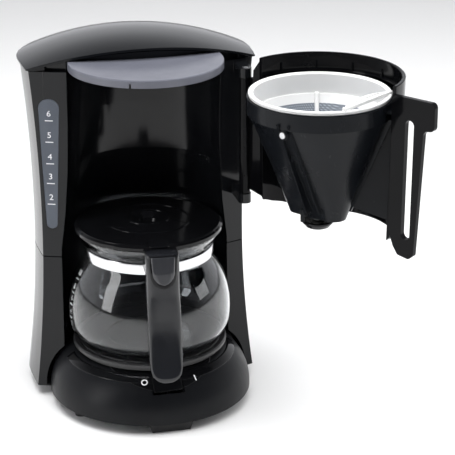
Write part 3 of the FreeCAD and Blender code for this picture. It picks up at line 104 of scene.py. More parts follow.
def bumped(tree, shader, height, strength, distance, edge=None):
    bump = tree.nodes.new("ShaderNodeBump")
    bump.inputs["Strength"].default_value = strength
    bump.inputs["Distance"].default_value = distance
    link(tree, height, bump.inputs["Height"])
    if edge:
        bevel = tree.nodes.new("ShaderNodeBevel")
        bevel.samples = 4
        bevel.inputs["Radius"].default_value = edge
        link(tree, bevel.outputs["Normal"], bump.inputs["Normal"])
    link(tree, bump.outputs["Normal"], shader.inputs["Normal"])


EDGE_RADIUS = 0.0005     # how far moulded edges look rounded, in metres


def plastic(name, dark, light, rough, grain=2600.0, grain_depth=0.00002, strength=0.3, ior=1.5):
    """Moulded plastic: faint colour drift, handling marks in the gloss, and a fine moulded grain."""
    mat, tree, shader = new_material(name)
    drift = noise(tree, 34.0, 4.0)
    tone = mixed(tree, ranged(tree, drift.outputs["Fac"], 0.0, 1.0), dark, light)
    link(tree, tone, shader.inputs["Base Color"])
    smudge = noise(tree, 95.0, 6.0, 0.65, (1.0, 1.0, 0.45))
    gloss = ranged(tree, smudge.outputs["Fac"], rough[0], rough[1], 0.35, 0.72)
    link(tree, gloss, shader.inputs["Roughness"])
    fine = noise(tree, grain, 2.0)
    bumped(tree, shader, fine.outputs["Fac"], strength, grain_depth, EDGE_RADIUS)
    shader.inputs["IOR"].default_value = ior
    return mat


def metal(name, colour, rough, stretch=(1.0, 1.0, 14.0), scale=420.0):
    """Drawn or rolled metal with fine lines in its gloss."""
    mat, tree, shader = new_material(name)
    lines = noise(tree, scale, 4.0, 0.6, stretch)
    shader.inputs["Metallic"].default_value = 1.0
    tint = tuple(0.86 * c for c in colour)
    tone = mixed(tree, ranged(tree, lines.outputs["Fac"], 0.0, 1.0), tint, colour)
    link(tree, tone, shader.inputs["Base Color"])
    link(tree, ranged(tree, lines.outputs["Fac"], rough[0], rough[1]), shader.inputs["Roughness"])
    bumped(tree, shader, lines.outputs["Fac"], 0.25, 0.00002, 0.0003)
    return mat


def glass_material():
    mat, tree, shader = new_material("jug_glass")
    shader.inputs["Base Color"].default_value = (0.93, 0.95, 0.97, 1)
    shader.inputs["Transmission Weight"].default_value = 1.0
    shader.inputs["IOR"].default_value = 1.47
    haze = noise(tree, 60.0, 5.0, 0.6)
    link(tree, ranged(tree, haze.outputs["Fac"], 0.0, 0.035, 0.4, 0.75), shader.inputs["Roughness"])
    ripple = noise(tree, 22.0, 1.0)
    bumped(tree, shader, ripple.outputs["Fac"], 0.12, 0.0012)
    return mat


def window_material():
    """Frosted translucent plastic, clouded blue grey: its colour is painted shade of the dim water space
    behind it.
    """
    mat, tree, shader = new_material("level_window_plastic")
    drift = noise(tree, 60.0, 3.0, 0.5, (1.0, 1.0, 0.3))
    cloud = ranged(tree, drift.outputs["Fac"], 0.0, 1.0)
    # painted shade: the two dark blue grey tones stand in for the dim water space seen through the pane; the
    # frosting is the roughness and grain
    link(tree, mixed(tree, cloud, (0.055, 0.066, 0.088), (0.075, 0.088, 0.112)), shader.inputs["Base Color"])
    shader.inputs["Subsurface Weight"].default_value = 0.25
    shader.inputs["Subsurface Radius"].default_value = (0.002, 0.002, 0.003)
    grain = noise(tree, 3200.0, 2.0)
    link(tree, ranged(tree, grain.outputs["Fac"], 0.28, 0.42), shader.inputs["Roughness"])
    bumped(tree, shader, grain.outputs["Fac"], 0.35, 0.00003, 0.0004)
    return mat


def mesh_material():
    """Fine woven filter gauze."""
    mat, tree, shader = new_material("filter_gauze")
    coords = tree.nodes.new("ShaderNodeTexCoord")
    waves = []
    for stretch in ((1.0, 1.0, 0.0), (0.0, 0.0, 1.0)):
        mapping = tree.nodes.new("ShaderNodeMapping")
        mapping.inputs["Scale"].default_value = stretch
        wave = tree.nodes.new("ShaderNodeTexWave")
        wave.inputs["Scale"].default_value = 420.0
        wave.bands_direction = "DIAGONAL"
        link(tree, coords.outputs["Object"], mapping.inputs["Vector"])
        link(tree, mapping.outputs["Vector"], wave.inputs["Vector"])
        waves.append(wave.outputs["Fac"])
    weave = tree.nodes.new("ShaderNodeMath")
    weave.operation = "MULTIPLY"
    link(tree, waves[0], weave.inputs[0])
    link(tree, waves[1], weave.inputs[1])
    tone = mixed(tree, weave.outputs["Value"], (0.15, 0.17, 0.2), (0.36, 0.39, 0.43))
    link(tree, tone, shader.inputs["Base Color"])
    shader.inputs["Roughness"].default_value = 0.55
    bumped(tree, shader, weave.outputs["Value"], 0.6, 0.0002)
    return mat


def print_material():
    mat, tree, shader = new_material("white_print")
    wear = noise(tree, 2400.0, 3.0)
    worn = ranged(tree, wear.outputs["Fac"], 0.0, 1.0, 0.3, 0.5)
    link(tree, mixed(tree, worn, (0.6, 0.6, 0.62), (0.85, 0.85, 0.87)), shader.inputs["Base Color"])
    shader.inputs["Roughness"].default_value = 0.45
    return mat


GLOSS = plastic("gloss_black_plastic", (0.003, 0.0031, 0.0036), (0.0045, 0.0047, 0.0055), (0.05, 0.11),
                900.0, 0.00001, 0.12, 1.33)
HOUSING = plastic("housing_black_plastic", (0.0045, 0.0049, 0.0058), (0.006, 0.0065, 0.0076), (0.1, 0.17),
                  1300.0, 0.000015, 0.2, 1.34)
# painted shade: the door's gloss black is a darker copy of the same black plastic, its lower base colour
# standing in for the shade on the door
DOOR = plastic("door_black_plastic_shaded", (0.0018, 0.0019, 0.0023), (0.003, 0.0031, 0.0037), (0.06, 0.12),
               900.0, 0.00001, 0.12, 1.2)
LID = plastic("lid_black_plastic", (0.003, 0.0034, 0.0042), (0.0045, 0.005, 0.006), (0.1, 0.16), 1300.0,
              0.000015, 0.2, 1.33)
SATIN = plastic("satin_black_plastic", (0.0052, 0.0056, 0.0066), (0.0072, 0.0077, 0.009), (0.34, 0.43),
                2200.0, 0.00004, 0.45, 1.25)
CONE = plastic("holder_black_plastic", (0.005, 0.0058, 0.0074), (0.0072, 0.0082, 0.0102), (0.2, 0.3),
               1800.0, 0.00002, 0.3, 1.24)
HANDLE = plastic("handle_black_plastic", (0.008, 0.0086, 0.0105), (0.0115, 0.0122, 0.0145), (0.1, 0.17),
                 1500.0, 0.00001, 0.2, 1.5)
INSERT = plastic("handle_insert_plastic", (0.022, 0.023, 0.026), (0.03, 0.031, 0.035), (0.07, 0.12),
                 1500.0, 0.00001, 0.15, 1.55)
DISC = plastic("disc_plastic", (0.1, 0.104, 0.127), (0.12, 0.124, 0.15), (0.3, 0.38), 1500.0, 0.00002, 0.3,
               1.5)
WHITE = plastic("white_plastic", (0.74, 0.74, 0.735), (0.8, 0.8, 0.797), (0.3, 0.42), 2200.0, 0.00002, 0.25)
GREY = plastic("grey_plastic", (0.4, 0.4, 0.44), (0.48, 0.48, 0.52), (0.35, 0.5), 1800.0, 0.00003, 0.3)
SILICONE = plastic("silicone_rubber", (0.5, 0.5, 0.48), (0.6, 0.6, 0.57), (0.4, 0.55), 900.0, 0.00003, 0.3)
RUBBER = plastic("foot_rubber", (0.012, 0.012, 0.013), (0.022, 0.022, 0.022), (0.6, 0.8), 1400.0, 0.00006,
                 0.6)
COATING = plastic("plate_coating", (0.012, 0.012, 0.013), (0.02, 0.02, 0.021), (0.28, 0.4), 2600.0,
                  0.00005, 0.5)
JACKET = plastic("lead_jacket", (0.3, 0.3, 0.29), (0.38, 0.38, 0.36), (0.45, 0.6))
STEEL = metal("plated_steel", (0.62, 0.62, 0.63), (0.18, 0.34))
ALUMINIUM = metal("heater_aluminium", (0.7, 0.7, 0.71), (0.3, 0.45), (1.0, 1.0, 1.0), 900.0)
BAND = metal("band_steel", (0.78, 0.78, 0.79), (0.08, 0.16), (1.0, 1.0, 20.0), 260.0)
GLASS = glass_material()
WINDOW = window_material()
GAUZE = mesh_material()
PRINT = print_material()

CAD_LOOKS = {
    "lower_housing": HOUSING, "upper_housing": HOUSING, "top_lid": LID, "door_shell": DOOR,
    "filter_holder": CONE, "control_panel": GLOSS, "rocker_switch": GLOSS, "carafe_handle": HANDLE,
    "handle_insert": HANDLE, "carafe_lid": GLOSS, "base_cowl": SATIN, "switch_housing": SATIN,
    "bottom_cover": SATIN, "terminal_block": WHITE, "cord_gland": RUBBER, "front_foot": RUBBER,
    "side_feet": RUBBER, "rear_feet": RUBBER, "valve_seal": RUBBER, "cold_hose": SILICONE,
    "riser_hose": SILICONE, "water_tank": GREY, "shower_disc": DISC, "outlet_pipe": GREY,
    "check_valve": WHITE, "hose_clips": WHITE, "level_window": WINDOW, "drip_valve": GLOSS,
    "filter_frame": WHITE, "filter_bail": WHITE, "filter_mesh": GAUZE, "hot_plate": COATING,
    "hot_plate_ring": COATING, "water_heater_tube": ALUMINIUM, "heater_rod": STEEL, "heater_clamp": STEEL,
    "clamp_screw": STEEL, "thermostat": STEEL, "thermal_fuse": STEEL, "bottom_screws": STEEL,
    "holder_screws": STEEL, "door_hinge_pins": STEEL, "lid_hinge_pin": STEEL, "valve_spring": SILICONE,
    "band_screw": STEEL, "carafe_lid_pin": STEEL, "carafe_band": BAND, "internal_leads": JACKET,
    "carafe_glass": GLASS,
}
for node, look in CAD_LOOKS.items():
    NODES[node].data.materials.clear()
    NODES[node].data.materials.append(look)


# ---- building helpers --------------------------------------------------------------------------


def piece(name, mesh, look, body, replaced=(), turn=None, modifiers=()):
    """Makes a finished visible piece from a mesh and hands it to its body."""
    obj = bpy.data.objects.new(name, mesh)
    bpy.context.scene.collection.objects.link(obj)
    if turn:
        mesh.transform(turn)
    if not mesh.materials:
        mesh.materials.append(look)
    for kind, settings in modifiers:
        modifier = obj.modifiers.new(kind.lower(), kind)
        for key, value in settings.items():
            setattr(modifier, key, value)
    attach(obj, body)
    if replaced:
        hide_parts(*replaced)
    return obj


def mesh_from(name, points, faces, smooth=True):
    mesh = bpy.data.meshes.new(name)
    mesh.from_pydata([tuple(p) for p in points], [], faces)
    mesh.validate()
    tidy = bmesh.new()
    tidy.from_mesh(mesh)
    bmesh.ops.remove_doubles(tidy, verts=tidy.verts, dist=1e-6)
    bmesh.ops.recalc_face_normals(tidy, faces=tidy.faces)
    tidy.to_mesh(mesh)
    tidy.free()
    if smooth:
        mesh.shade_smooth()
    return mesh


def spline_points(points, steps):
    """A smooth open line through the given points."""
    last = len(points) - 1
    result = []
    for i in range(last):
        p0, p1, p2, p3 = (Vector(points[min(max(i + k, 0), last)]) for k in (-1, 0, 1, 2))
        for s in range(steps):
            t = s / steps
            result.append(0.5 * ((2 * p1) + (p2 - p0) * t + (2 * p0 - 5 * p1 + 4 * p2 - p3) * t * t
                                 + (3 * p1 - p0 - 3 * p2 + p3) * t**3))
    result.append(Vector(points[-1]))
    return result


def lathe(name, profile, segments=128):
    """A ring surface turned from (radius, height) pairs in millimetres; the profile may be closed."""
    points = []
    faces = []
    closed = profile[0] == profile[-1]
    rows = profile[:-1] if closed else profile
    count = len(rows)
    for s in range(segments):
        angle = 2 * math.pi * s / segments
        for r, z in rows:
            points.append((r * MM * math.cos(angle), r * MM * math.sin(angle), z * MM))
    for s in range(segments):
        following = (s + 1) % segments
        for i in range(count if closed else count - 1):
            j = (i + 1) % count
            faces.append((s * count + i, following * count + i,
                          following * count + j, s * count + j))
    return mesh_from(name, points, faces)


def extruded(name, outline, low, high, to_space):
    """A prism from a flat outline; to_space turns (a, b, height) into a point in metres."""
    count = len(outline)
    points = [to_space(a, b, h) for h in (low, high) for a, b in outline]
    faces = [tuple(range(count)), tuple(range(2 * count - 1, count - 1, -1))]
    faces += [(i, (i + 1) % count, count + (i + 1) % count, count + i) for i in range(count)]
    return mesh_from(name, points, faces, smooth=False)


def loft(name, rings):
    """A skin over rings of equal point counts, closed at both ends."""
    count = len(rings[0])
    points = [p for ring in rings for p in ring]
    faces = []
    for k in range(len(rings) - 1):
        for i in range(count):
            j = (i + 1) % count
            faces.append((k * count + i, k * count + j, (k + 1) * count + j, (k + 1) * count + i))
    faces.append(tuple(range(count)))
    faces.append(tuple(range((len(rings) - 1) * count, len(rings) * count)))
    return mesh_from(name, points, faces)


def wide_bevel(width, segments=3):
    """A bevel on every edge sharper than 35 degrees."""
    return ("BEVEL", {"width": width, "segments": segments, "limit_method": "ANGLE",
                      "angle_limit": math.radians(35)})


# ---- jug ---------------------------------------------------------------------------------------


def jug():
    """The glass as one turned shell with a rolled rim, and its steel neck band."""
    outer = [(0.0, 47.9), (20.0, 47.6), (36.0, 47.2), (43.0, 47.4), (48.9, 49.4), (54.1, 53.6),
             (57.3, 60.2), (58.2, 68.4), (57.7, 78.4), (55.3, 89.4), (51.2, 99.4), (47.3, 106.4),
             (45.4, 110.2),
             (45.3, 114.4), (45.4, 118.2), (46.8, 121.2), (49.8, 125.8), (51.4, 129.2)]
    smooth_outer = [(p.x, p.y) for p in spline_points([Vector((r, z)) for r, z in outer], 4)]
    inner = []
    for i, (r, z) in enumerate(smooth_outer):
        r0, z0 = smooth_outer[max(i - 1, 0)]
        r1, z1 = smooth_outer[min(i + 1, len(smooth_outer) - 1)]
        length = math.hypot(r1 - r0, z1 - z0)
        wall = 1.6
        inner.append((max(r - wall * (z1 - z0) / length, 0.0), z + wall * (r1 - r0) / length))
    inner[-1] = (49.8, 129.3)
    rim = [(51.2, 129.7), (50.6, 129.9), (50.0, 129.7)]
    profile = smooth_outer + rim + inner[::-1]
    body = lathe("jug_glass_shell", profile, 160)
    piece("jug_glass_shell", body, GLASS, "jug", ("carafe_glass",))
    band = [(45.45, 110.6), (45.45, 118.2), (45.7, 118.4), (46.1, 118.35), (46.25, 117.9), (46.2, 114.4),
            (46.25, 110.9), (46.1, 110.5), (45.7, 110.4), (45.45, 110.6)]
    piece("jug_neck_band", lathe("jug_neck_band", band, 160), BAND, "jug", ("carafe_band",))


# ---- surfaces that marks are laid on ---------------------------------------------------------------


def housing_face(x, z):
    """Depth of the housing's curved front for a place seen from the front, in millimetres."""
    share = (z - 125.0) / (118.0 if z > 125.0 else 107.0)
    k = 0.92 + 0.08 * share**2
    return 45.0 - 46.3 * k + 199.6 * k - math.sqrt((199.6 * k)**2 - x * x)


def on_housing(cx, cz, lift):
    def place(a, b, h):
        x, z = cx + a, cz + b
        return Vector((x, housing_face(x, z) - lift - h, z)) * MM
    return place


def on_cowl(azimuth, slope, lift):
    """The base cowl's curved side: azimuth and slope angle in degrees locate the mark's middle."""
    def place(a, b, h):
        t = math.radians(slope) + b / 30.0
        r = 44.0 + (28.0 + lift + h) * math.cos(t)
        z = 10.0 + (32.0 + lift + h) * math.sin(t)
        turn = math.radians(azimuth) + a / r
        return Vector((r * math.cos(turn), r * math.sin(turn), z)) * MM
    return place


GLASS_OUTLINE = [(36.0, 47.2), (43.0, 47.4), (48.9, 49.4), (54.1, 53.6), (57.3, 60.2), (58.2, 68.4),
                 (57.7, 78.4),
                 (55.3, 89.4), (51.2, 99.4), (47.3, 106.4), (45.4, 110.2)]


def glass_radius(z):
    for (r0, z0), (r1, z1) in zip(GLASS_OUTLINE, GLASS_OUTLINE[1:]):
        if z <= z1:
            return r0 + (r1 - r0) * (z - z0) / (z1 - z0)
    return GLASS_OUTLINE[-1][0]


def on_glass(azimuth, cz, lift):
    def place(a, b, h):
        z = cz + b
        r = glass_radius(z) + lift + h
        turn = math.radians(azimuth) + a / r
        return Vector((r * math.cos(turn), r * math.sin(turn), z)) * MM
    return place


PRINT_THICK = 0.06       # printed marks, in millimetres


def bar(name, half_wide, half_high, place, thick=PRINT_THICK, steps=6):
    """A thin printed bar that follows the surface under it."""
    points = []
    faces = []
    for h in (0.0, thick):
        for j in (-1, 1):
            for i in range(steps + 1):
                a = -half_wide + 2 * half_wide * i / steps
                points.append(place(a, j * half_high, h))
    row = steps + 1
    for i in range(steps):
        low = (i, i + 1, row + i + 1, row + i)
        faces.append(low)
        faces.append(tuple(2 * row + k for k in low))
        faces.append((i, i + 1, 2 * row + i + 1, 2 * row + i))
        faces.append((row + i, row + i + 1, 3 * row + i + 1, 3 * row + i))
    for i in (0, steps):
        faces.append((i, row + i, 3 * row + i, 2 * row + i))
    return mesh_from(name, points, faces, smooth=False)


def ring_mark(name, radius, wide, place):
    """A printed ring that follows the surface under it."""
    steps = 40
    half = wide / 2
    corners = ((-half, 0), (half, 0), (half, PRINT_THICK), (-half, PRINT_THICK))
    points = []
    faces = []
    for i in range(steps):
        angle = 2 * math.pi * i / steps
        for out, h in corners:
            r = radius + out
            points.append(place(r * math.cos(angle), r * math.sin(angle), h))
    for i in range(steps):
        j = (i + 1) % steps
        for k in range(4):
            m = (k + 1) % 4
            faces.append((4 * i + k, 4 * j + k, 4 * j + m, 4 * i + m))
    return mesh_from(name, points, faces, smooth=False)


def numeral(name, text, size, place):
    """A printed numeral whose flat outline is laid on the surface under it."""
    curve = bpy.data.curves.new(name + "_font", "FONT")
    curve.body = text
    curve.size = size
    curve.align_x = "CENTER"
    curve.align_y = "CENTER"
    curve.resolution_u = 3
    curve.extrude = 0.5
    holder = bpy.data.objects.new(name + "_font", curve)
    bpy.context.scene.collection.objects.link(holder)
    bpy.context.view_layer.update()
    ready = holder.evaluated_get(bpy.context.evaluated_depsgraph_get())
    mesh = bpy.data.meshes.new_from_object(ready)
    mesh.name = name
    bpy.data.objects.remove(holder)
    bpy.data.curves.remove(curve)
    for vertex in mesh.vertices:
        a, b, h = vertex.co
        vertex.co = place(a, b, PRINT_THICK if h > 0 else 0.0)
    tidy = bmesh.new()
    tidy.from_mesh(mesh)
    bmesh.ops.remove_doubles(tidy, verts=tidy.verts, dist=1e-7)
    bmesh.ops.recalc_face_normals(tidy, faces=tidy.faces)
    tidy.to_mesh(mesh)
    tidy.free()
    mesh.materials.clear()
    return mesh


def printed(name, mesh, body):
    piece(name, mesh, PRINT, body)


def marks():
    """The level scale, the jug's scale, and the switch's off and on marks."""
    for text, z in (("6", 213.2), ("5", 197.4), ("4", 181.4), ("3", 166.7), ("2", 151.2)):
        x = -66.4 + (213.2 - z) * 0.006
        number = "scale_number_" + text
        line = "scale_line_" + text
        printed(number, numeral(number, text, 6.0, on_housing(x, z, 0.02)), "housing")
        printed(line, bar(line, 2.6, 0.32, on_housing(x, z - 5.0, 0.02)), "housing")
    side = 186.0
    for i, z in enumerate((100.7, 90.9, 82.2, 72.2, 62.9)):
        number = "jug_number_%d" % i
        line = "jug_line_%d" % i
        printed(number, numeral(number, str(10 - 2 * i), 5.2, on_glass(side, z, 0.03)), "jug")
        printed(line, bar(line, 2.4, 0.3, on_glass(side, z - 4.4, 0.03)), "jug")
    off = on_cowl(math.degrees(math.atan2(-58.5, -15.8)), 53.7, 0.2)
    printed("switch_off_ring", ring_mark("switch_off_ring", 1.9, 0.8, off), "housing")
    on = on_cowl(math.degrees(math.atan2(-57.7, 20.4)), 52.0, 0.2)
    printed("switch_on_bar", bar("switch_on_bar", 0.4, 2.2, on, steps=2), "housing")


# ---- jug handle and jug lid ------------------------------------------------------------------------

# Stations down the grip: front and back distance from the jug's axis, height at the front and at the
# back, and half width.
GRIP_ROWS = [
    (70.6, 63.6, 135.55, 135.55, 10.2), (72.8, 62.8, 135.0, 135.0, 11.0), (74.0, 62.5, 133.0, 133.4, 11.4),
    (75.3, 62.3, 128.8, 129.8, 11.5), (76.7, 61.6, 123.6, 124.8, 11.5), (77.9, 59.5, 115.6, 117.0, 11.5),
    (78.9, 59.8, 108.3, 109.2, 11.5), (79.7, 63.6, 102.8, 105.4, 11.5), (80.6, 68.0, 96.5, 100.0, 11.5),
    (81.7, 71.6, 89.0, 90.0, 11.5), (83.2, 74.3, 80.5, 78.0, 11.4), (85.4, 77.6, 70.5, 67.0, 11.3),
    (87.7, 80.8, 61.2, 58.0, 11.1), (89.6, 83.2, 55.8, 52.6, 10.3), (90.8, 84.9, 52.6, 50.1, 8.6),
    (91.1, 86.6, 50.4, 48.5, 6.0), (90.6, 88.2, 48.9, 47.9, 3.0),
]


GRIP_POWER = 3.2         # how square the grip's section is: 2 is an ellipse


def grip_point(row, angle):
    """A place on the grip's skin: angle 0 is its front, a quarter turn its side."""
    outer, inner, outer_z, inner_z, half = row
    c, s = math.cos(angle), math.sin(angle)
    along = math.copysign(abs(c)**(2 / GRIP_POWER), c)
    across = math.copysign(abs(s)**(2 / GRIP_POWER), s)
    share = 0.5 + 0.5 * along
    rho = inner + (outer - inner) * share
    z = inner_z + (outer_z - inner_z) * share
    return Vector((half * across, -rho, z)) * MM


def grip_rows(steps):
    packed = [Vector((a, b, c)) for a, b, c, _, _ in GRIP_ROWS]
    rest = [Vector((d, e, 0)) for _, _, _, d, e in GRIP_ROWS]
    first = spline_points(packed, steps)
    second = spline_points(rest, steps)
    return [(p.x, p.y, p.z, q.x, q.y) for p, q in zip(first, second)]


def front_of_grip(x, z):
    """Distance of the grip's front face from the jug's axis."""
    for upper, lower in zip(GRIP_ROWS, GRIP_ROWS[1:]):
        if lower[2] <= z <= upper[2]:
            t = (z - lower[2]) / (upper[2] - lower[2])
            outer = lower[0] + t * (upper[0] - lower[0])
            inner = lower[1] + t * (upper[1] - lower[1])
            half = lower[4] + t * (upper[4] - lower[4])
            break
    drop = (1 - min(abs(x) / half, 0.999)**GRIP_POWER)**(1 / GRIP_POWER)
    return (outer + inner) / 2 + (outer - inner) / 2 * drop


def shield(name, grow, top_z, low_z, lift, thick):
    """A panel with a round lower end, laid on the grip's front face."""
    across, down = 14, 26
    points = []
    faces = []
    for h in (lift, lift - thick):
        for j in range(down + 1):
            v = j / down
            z = low_z + (top_z - low_z) * v
            bow = math.sqrt(max(0.0, 1 - (1 - min(v / 0.42, 1.0))**2))
            half = (6.4 + 1.5 * v) * bow + grow * min(1.0, 6 * v) + 0.3
            for i in range(across + 1):
                x = -half + 2 * half * i / across
                edge = min(1.0, 3.5 * (1 - abs(x) / half))
                out = h if h < lift else lift * (0.4 + 0.6 * edge)
                points.append(Vector((x, -(front_of_grip(x, z) + out), z)) * MM)
    row = across + 1
    layer = row * (down + 1)
    for j in range(down):
        for i in range(across):
            quad = (j * row + i, j * row + i + 1, (j + 1) * row + i + 1, (j + 1) * row + i)
            faces.append(quad)
            faces.append(tuple(layer + k for k in quad))
    for j in range(down):
        for i in (0, across):
            a, b = j * row + i, (j + 1) * row + i
            faces.append((a, b, layer + b, layer + a))
    for j in (0, down):
        for i in range(across):
            a, b = j * row + i, j * row + i + 1
            faces.append((a, b, layer + b, layer + a))
    return mesh_from(name, points, faces)


def handle():
    """The grip, the block that joins it to the band, its cheeks beside the lid's hinge, and its inset."""
    rings = [[grip_point(row, 2 * math.pi * i / 72) for i in range(72)] for row in grip_rows(5)]
    grip = loft("jug_handle_grip", rings)
    piece("jug_handle_grip", grip, HANDLE, "jug", ("carafe_handle",), HANDLE_TURN)

    def from_the_side(a, b, h):
        return Vector((h, -a, b)) * MM

    outline = [(47.2, 109.4), (58.0, 109.4), (62.0, 112.0), (62.0, 122.0), (54.0, 122.0), (47.2, 119.8)]
    mount = extruded("jug_handle_mount", outline, -7.5, 7.5, from_the_side)
    piece("jug_handle_mount", mount, GLOSS, "jug", (), HANDLE_TURN, (wide_bevel(0.0012),))
    cheek = [(48.4, 119.0), (64.5, 119.0), (66.5, 133.6), (64.0, 135.3), (57.6, 135.3), (55.4, 133.4),
             (54.2, 127.4)]
    for name, low in (("jug_handle_cheek_left", -11.2), ("jug_handle_cheek_right", 8.2)):
        side = extruded(name, cheek, low, low + 3.0, from_the_side)
        piece(name, side, GLOSS, "jug", (), HANDLE_TURN, (wide_bevel(0.0009),))
    border = shield("jug_handle_border", 2.2, 134.4, 112.6, 0.35, 1.2)
    piece("jug_handle_border", border, GLOSS, "jug", (), HANDLE_TURN)
    insert = shield("jug_handle_insert", 0.2, 133.8, 115.4, 0.95, 1.0)
    piece("jug_handle_insert", insert, INSERT, "jug", ("handle_insert",), HANDLE_TURN)


def jug_lid():
    """Mouldings on top of the jug's lid: rim bead, collar, step, ribs and thumb pad."""
    rings = (
        ("jug_lid_bead", 128, [(50.9, 133.3), (50.6, 133.9), (49.9, 134.1), (49.2, 133.9), (48.9, 133.3),
                               (49.2, 132.6), (50.6, 132.6), (50.9, 133.3)]),
        ("jug_lid_collar", 96, [(15.6, 134.6), (15.9, 136.2), (15.5, 136.8), (14.7, 136.9), (14.2, 136.4),
                                (13.9, 134.4), (15.6, 134.6)]),
        ("jug_lid_step", 128, [(30.6, 134.4), (30.3, 135.2), (29.4, 135.5), (28.6, 135.4), (28.4, 134.4),
                               (30.6, 134.4)]),
    )
    for name, segments, section in rings:
        piece(name, lathe(name, section, segments), GLOSS, "jug_lid")

    def upright(a, b, h):
        return Vector((a, h, b)) * MM

    section = [(16.0, 133.6), (28.4, 133.6), (28.4, 135.1), (16.0, 136.1)]
    for i in range(6):
        name = "jug_lid_rib_%d" % i
        rib = extruded(name, section, -0.6, 0.6, upright)
        piece(name, rib, GLOSS, "jug_lid", (), about_z(30 + 60 * i),
        (wide_bevel(0.0003, 2),))
    outline = [(-6.4, 41.0), (6.4, 41.0), (7.0, 48.0), (7.0, 56.0), (5.6, 58.4), (-5.6, 58.4), (-7.0, 56.0),
               (-7.0, 48.0)]

    def pad(a, b, h):
        return Vector((a, -b, 133.9 + h + 0.4 * math.sin((b - 41.0) / 6.0))) * MM

    lever = extruded("jug_lid_lever", outline, 0.0, 1.5, pad)
    piece("jug_lid_lever", lever, GLOSS, "jug_lid", (), HANDLE_TURN, (wide_bevel(0.0007),))


# ---- details on the housing, base, door and filter ------------------------------------------------


def base_details():
    """The glossy surround of the hot plate's ring, and the groove above the level window."""
    section = ((52.5, 0.02), (53.5, 0.14), (58.0, 0.16), (63.0, 0.16), (66.2, 0.1), (66.2, -0.3),
               (52.5, -0.3))
    count = len(section)
    steps = 72
    points = []
    faces = []
    for i in range(steps + 1):
        azimuth = math.radians(182 + 176 * i / steps)
        for degrees, lift in section:
            slope = math.radians(degrees)
            r = 44.0 + (28.0 + lift) * math.cos(slope)
            z = 10.0 + (32.0 + lift) * math.sin(slope)
            points.append(Vector((r * math.cos(azimuth), r * math.sin(azimuth), z)) * MM)
    for i in range(steps):
        for k in range(count):
            m = (k + 1) % count
            faces.append((count * i + k, count * (i + 1) + k, count * (i + 1) + m, count * i + m))
    faces.append(tuple(range(count)))
    faces.append(tuple(count * steps + k for k in range(count)))
    piece("plate_surround", mesh_from("plate_surround", points, faces), GLOSS, "housing")
    groove = bar("column_groove", 0.3, 9.8, on_housing(-69.6, 234.0, 0.0), 0.04, 2)
    piece("column_groove", groove, RUBBER, "housing")


def filter_details():
    """The rolled edge of the filter's rim, and the rib down the inside of its far wall."""
    bead = [(48.3, 238.2), (48.2, 239.0), (47.6, 239.5), (46.6, 239.5), (46.0, 239.0), (45.9, 238.2),
            (46.6, 237.9),
            (47.8, 237.9), (48.3, 238.2)]
    rim = lathe("filter_rim_bead", bead, 160)
    piece("filter_rim_bead", rim, WHITE, "filter", (), DOOR_TURN)
    points = []
    for r, z in ((43.2, 226.0), (12.4, 160.2)):
        for inward, across in ((-0.9, -1.7), (-0.9, 1.7), (1.5, 1.3), (1.5, -1.3)):
            points.append(Vector((r - inward, across, z)) * MM)
    faces = [(0, 1, 2, 3), (4, 5, 6, 7)]
    faces += [(k, (k + 1) % 4, 4 + (k + 1) % 4, 4 + k) for k in range(4)]
    rib = mesh_from("filter_rib", points, faces, smooth=False)
    rib.transform(about_z(-50))
    piece("filter_rib", rib, WHITE, "filter", (), DOOR_TURN, (wide_bevel(0.0004, 2),))


def arc_band(name, section, first, last, steps=60):
    """A curved strip with the given (radius, height) section between two angles in degrees."""
    count = len(section)
    points = []
    for i in range(steps + 1):
        turn = math.radians(first + (last - first) * i / steps)
        points += [Vector((r * math.cos(turn), r * math.sin(turn), z)) * MM for r, z in section]
    faces = [(count * i + k, count * (i + 1) + k, count * (i + 1) + (k + 1) % count,
              count * i + (k + 1) % count) for i in range(steps) for k in range(count)]
    faces += [tuple(range(count)), tuple(count * steps + k for k in range(count))]
    return mesh_from(name, points, faces, smooth=False)


def door_details():
    """The ledge, stiffening ribs and rolled edge moulded on the door's cover near its top."""
    ledge = [(52.7, 238.8), (54.6, 238.8), (54.6, 240.0), (53.0, 240.0)]
    rib = [(53.3, 240.0), (54.8, 240.0), (54.9, 245.6), (54.2, 245.6)]
    bead = [(55.0, 250.6), (56.6, 250.6), (56.9, 251.0), (56.5, 251.5), (55.2, 251.5), (54.8, 251.1)]
    bands = [("door_ledge", arc_band("door_ledge", ledge, -167, -15))]
    for i, angle in enumerate((-158, -131, -104, -77, -50, -23)):
        name = "door_rib_%d" % i
        bands.append((name, arc_band(name, rib, angle - 0.7, angle + 0.7, 1)))
    bands.append(("door_edge_bead", arc_band("door_edge_bead", bead, -171.5, -6)))
    for name, mesh in bands:
        piece(name, mesh, DOOR, "door", (), DOOR_TURN)


# ---- camera, light and floor ---------------------------------------------------------------------


def camera():
    """A long lens at the height and angle of a product shot, with the whole machine in frame."""
    place = (-0.2505, -1.2739, 0.6134)
    look_right = 13.60
    look_down = 20.51
    data = bpy.data.cameras.new("photo_camera")
    obj = bpy.data.objects.new("photo_camera", data)
    bpy.context.scene.collection.objects.link(obj)
    tilt = Matrix.Rotation(math.radians(90 - look_down), 4, "X")
    obj.matrix_world = Matrix.Translation(place) @ about_z(-look_right) @ tilt
    data.sensor_width = 36.0
    data.lens = 155.0
    data.clip_start = 0.05
    data.clip_end = 20.0
    bpy.context.scene.camera = obj


def area(name, place, target, width, height, power, colour=(1, 1, 1)):
    data = bpy.data.lights.new(name, "AREA")
    data.shape = "RECTANGLE"
    data.size = width
    data.size_y = height
    data.energy = power
    data.color = colour
    obj = bpy.data.objects.new(name, data)
    bpy.context.scene.collection.objects.link(obj)
    aim = (Vector(target) - Vector(place)).to_track_quat("-Z", "Y")
    obj.matrix_world = Matrix.Translation(place) @ aim.to_matrix().to_4x4()
    return obj


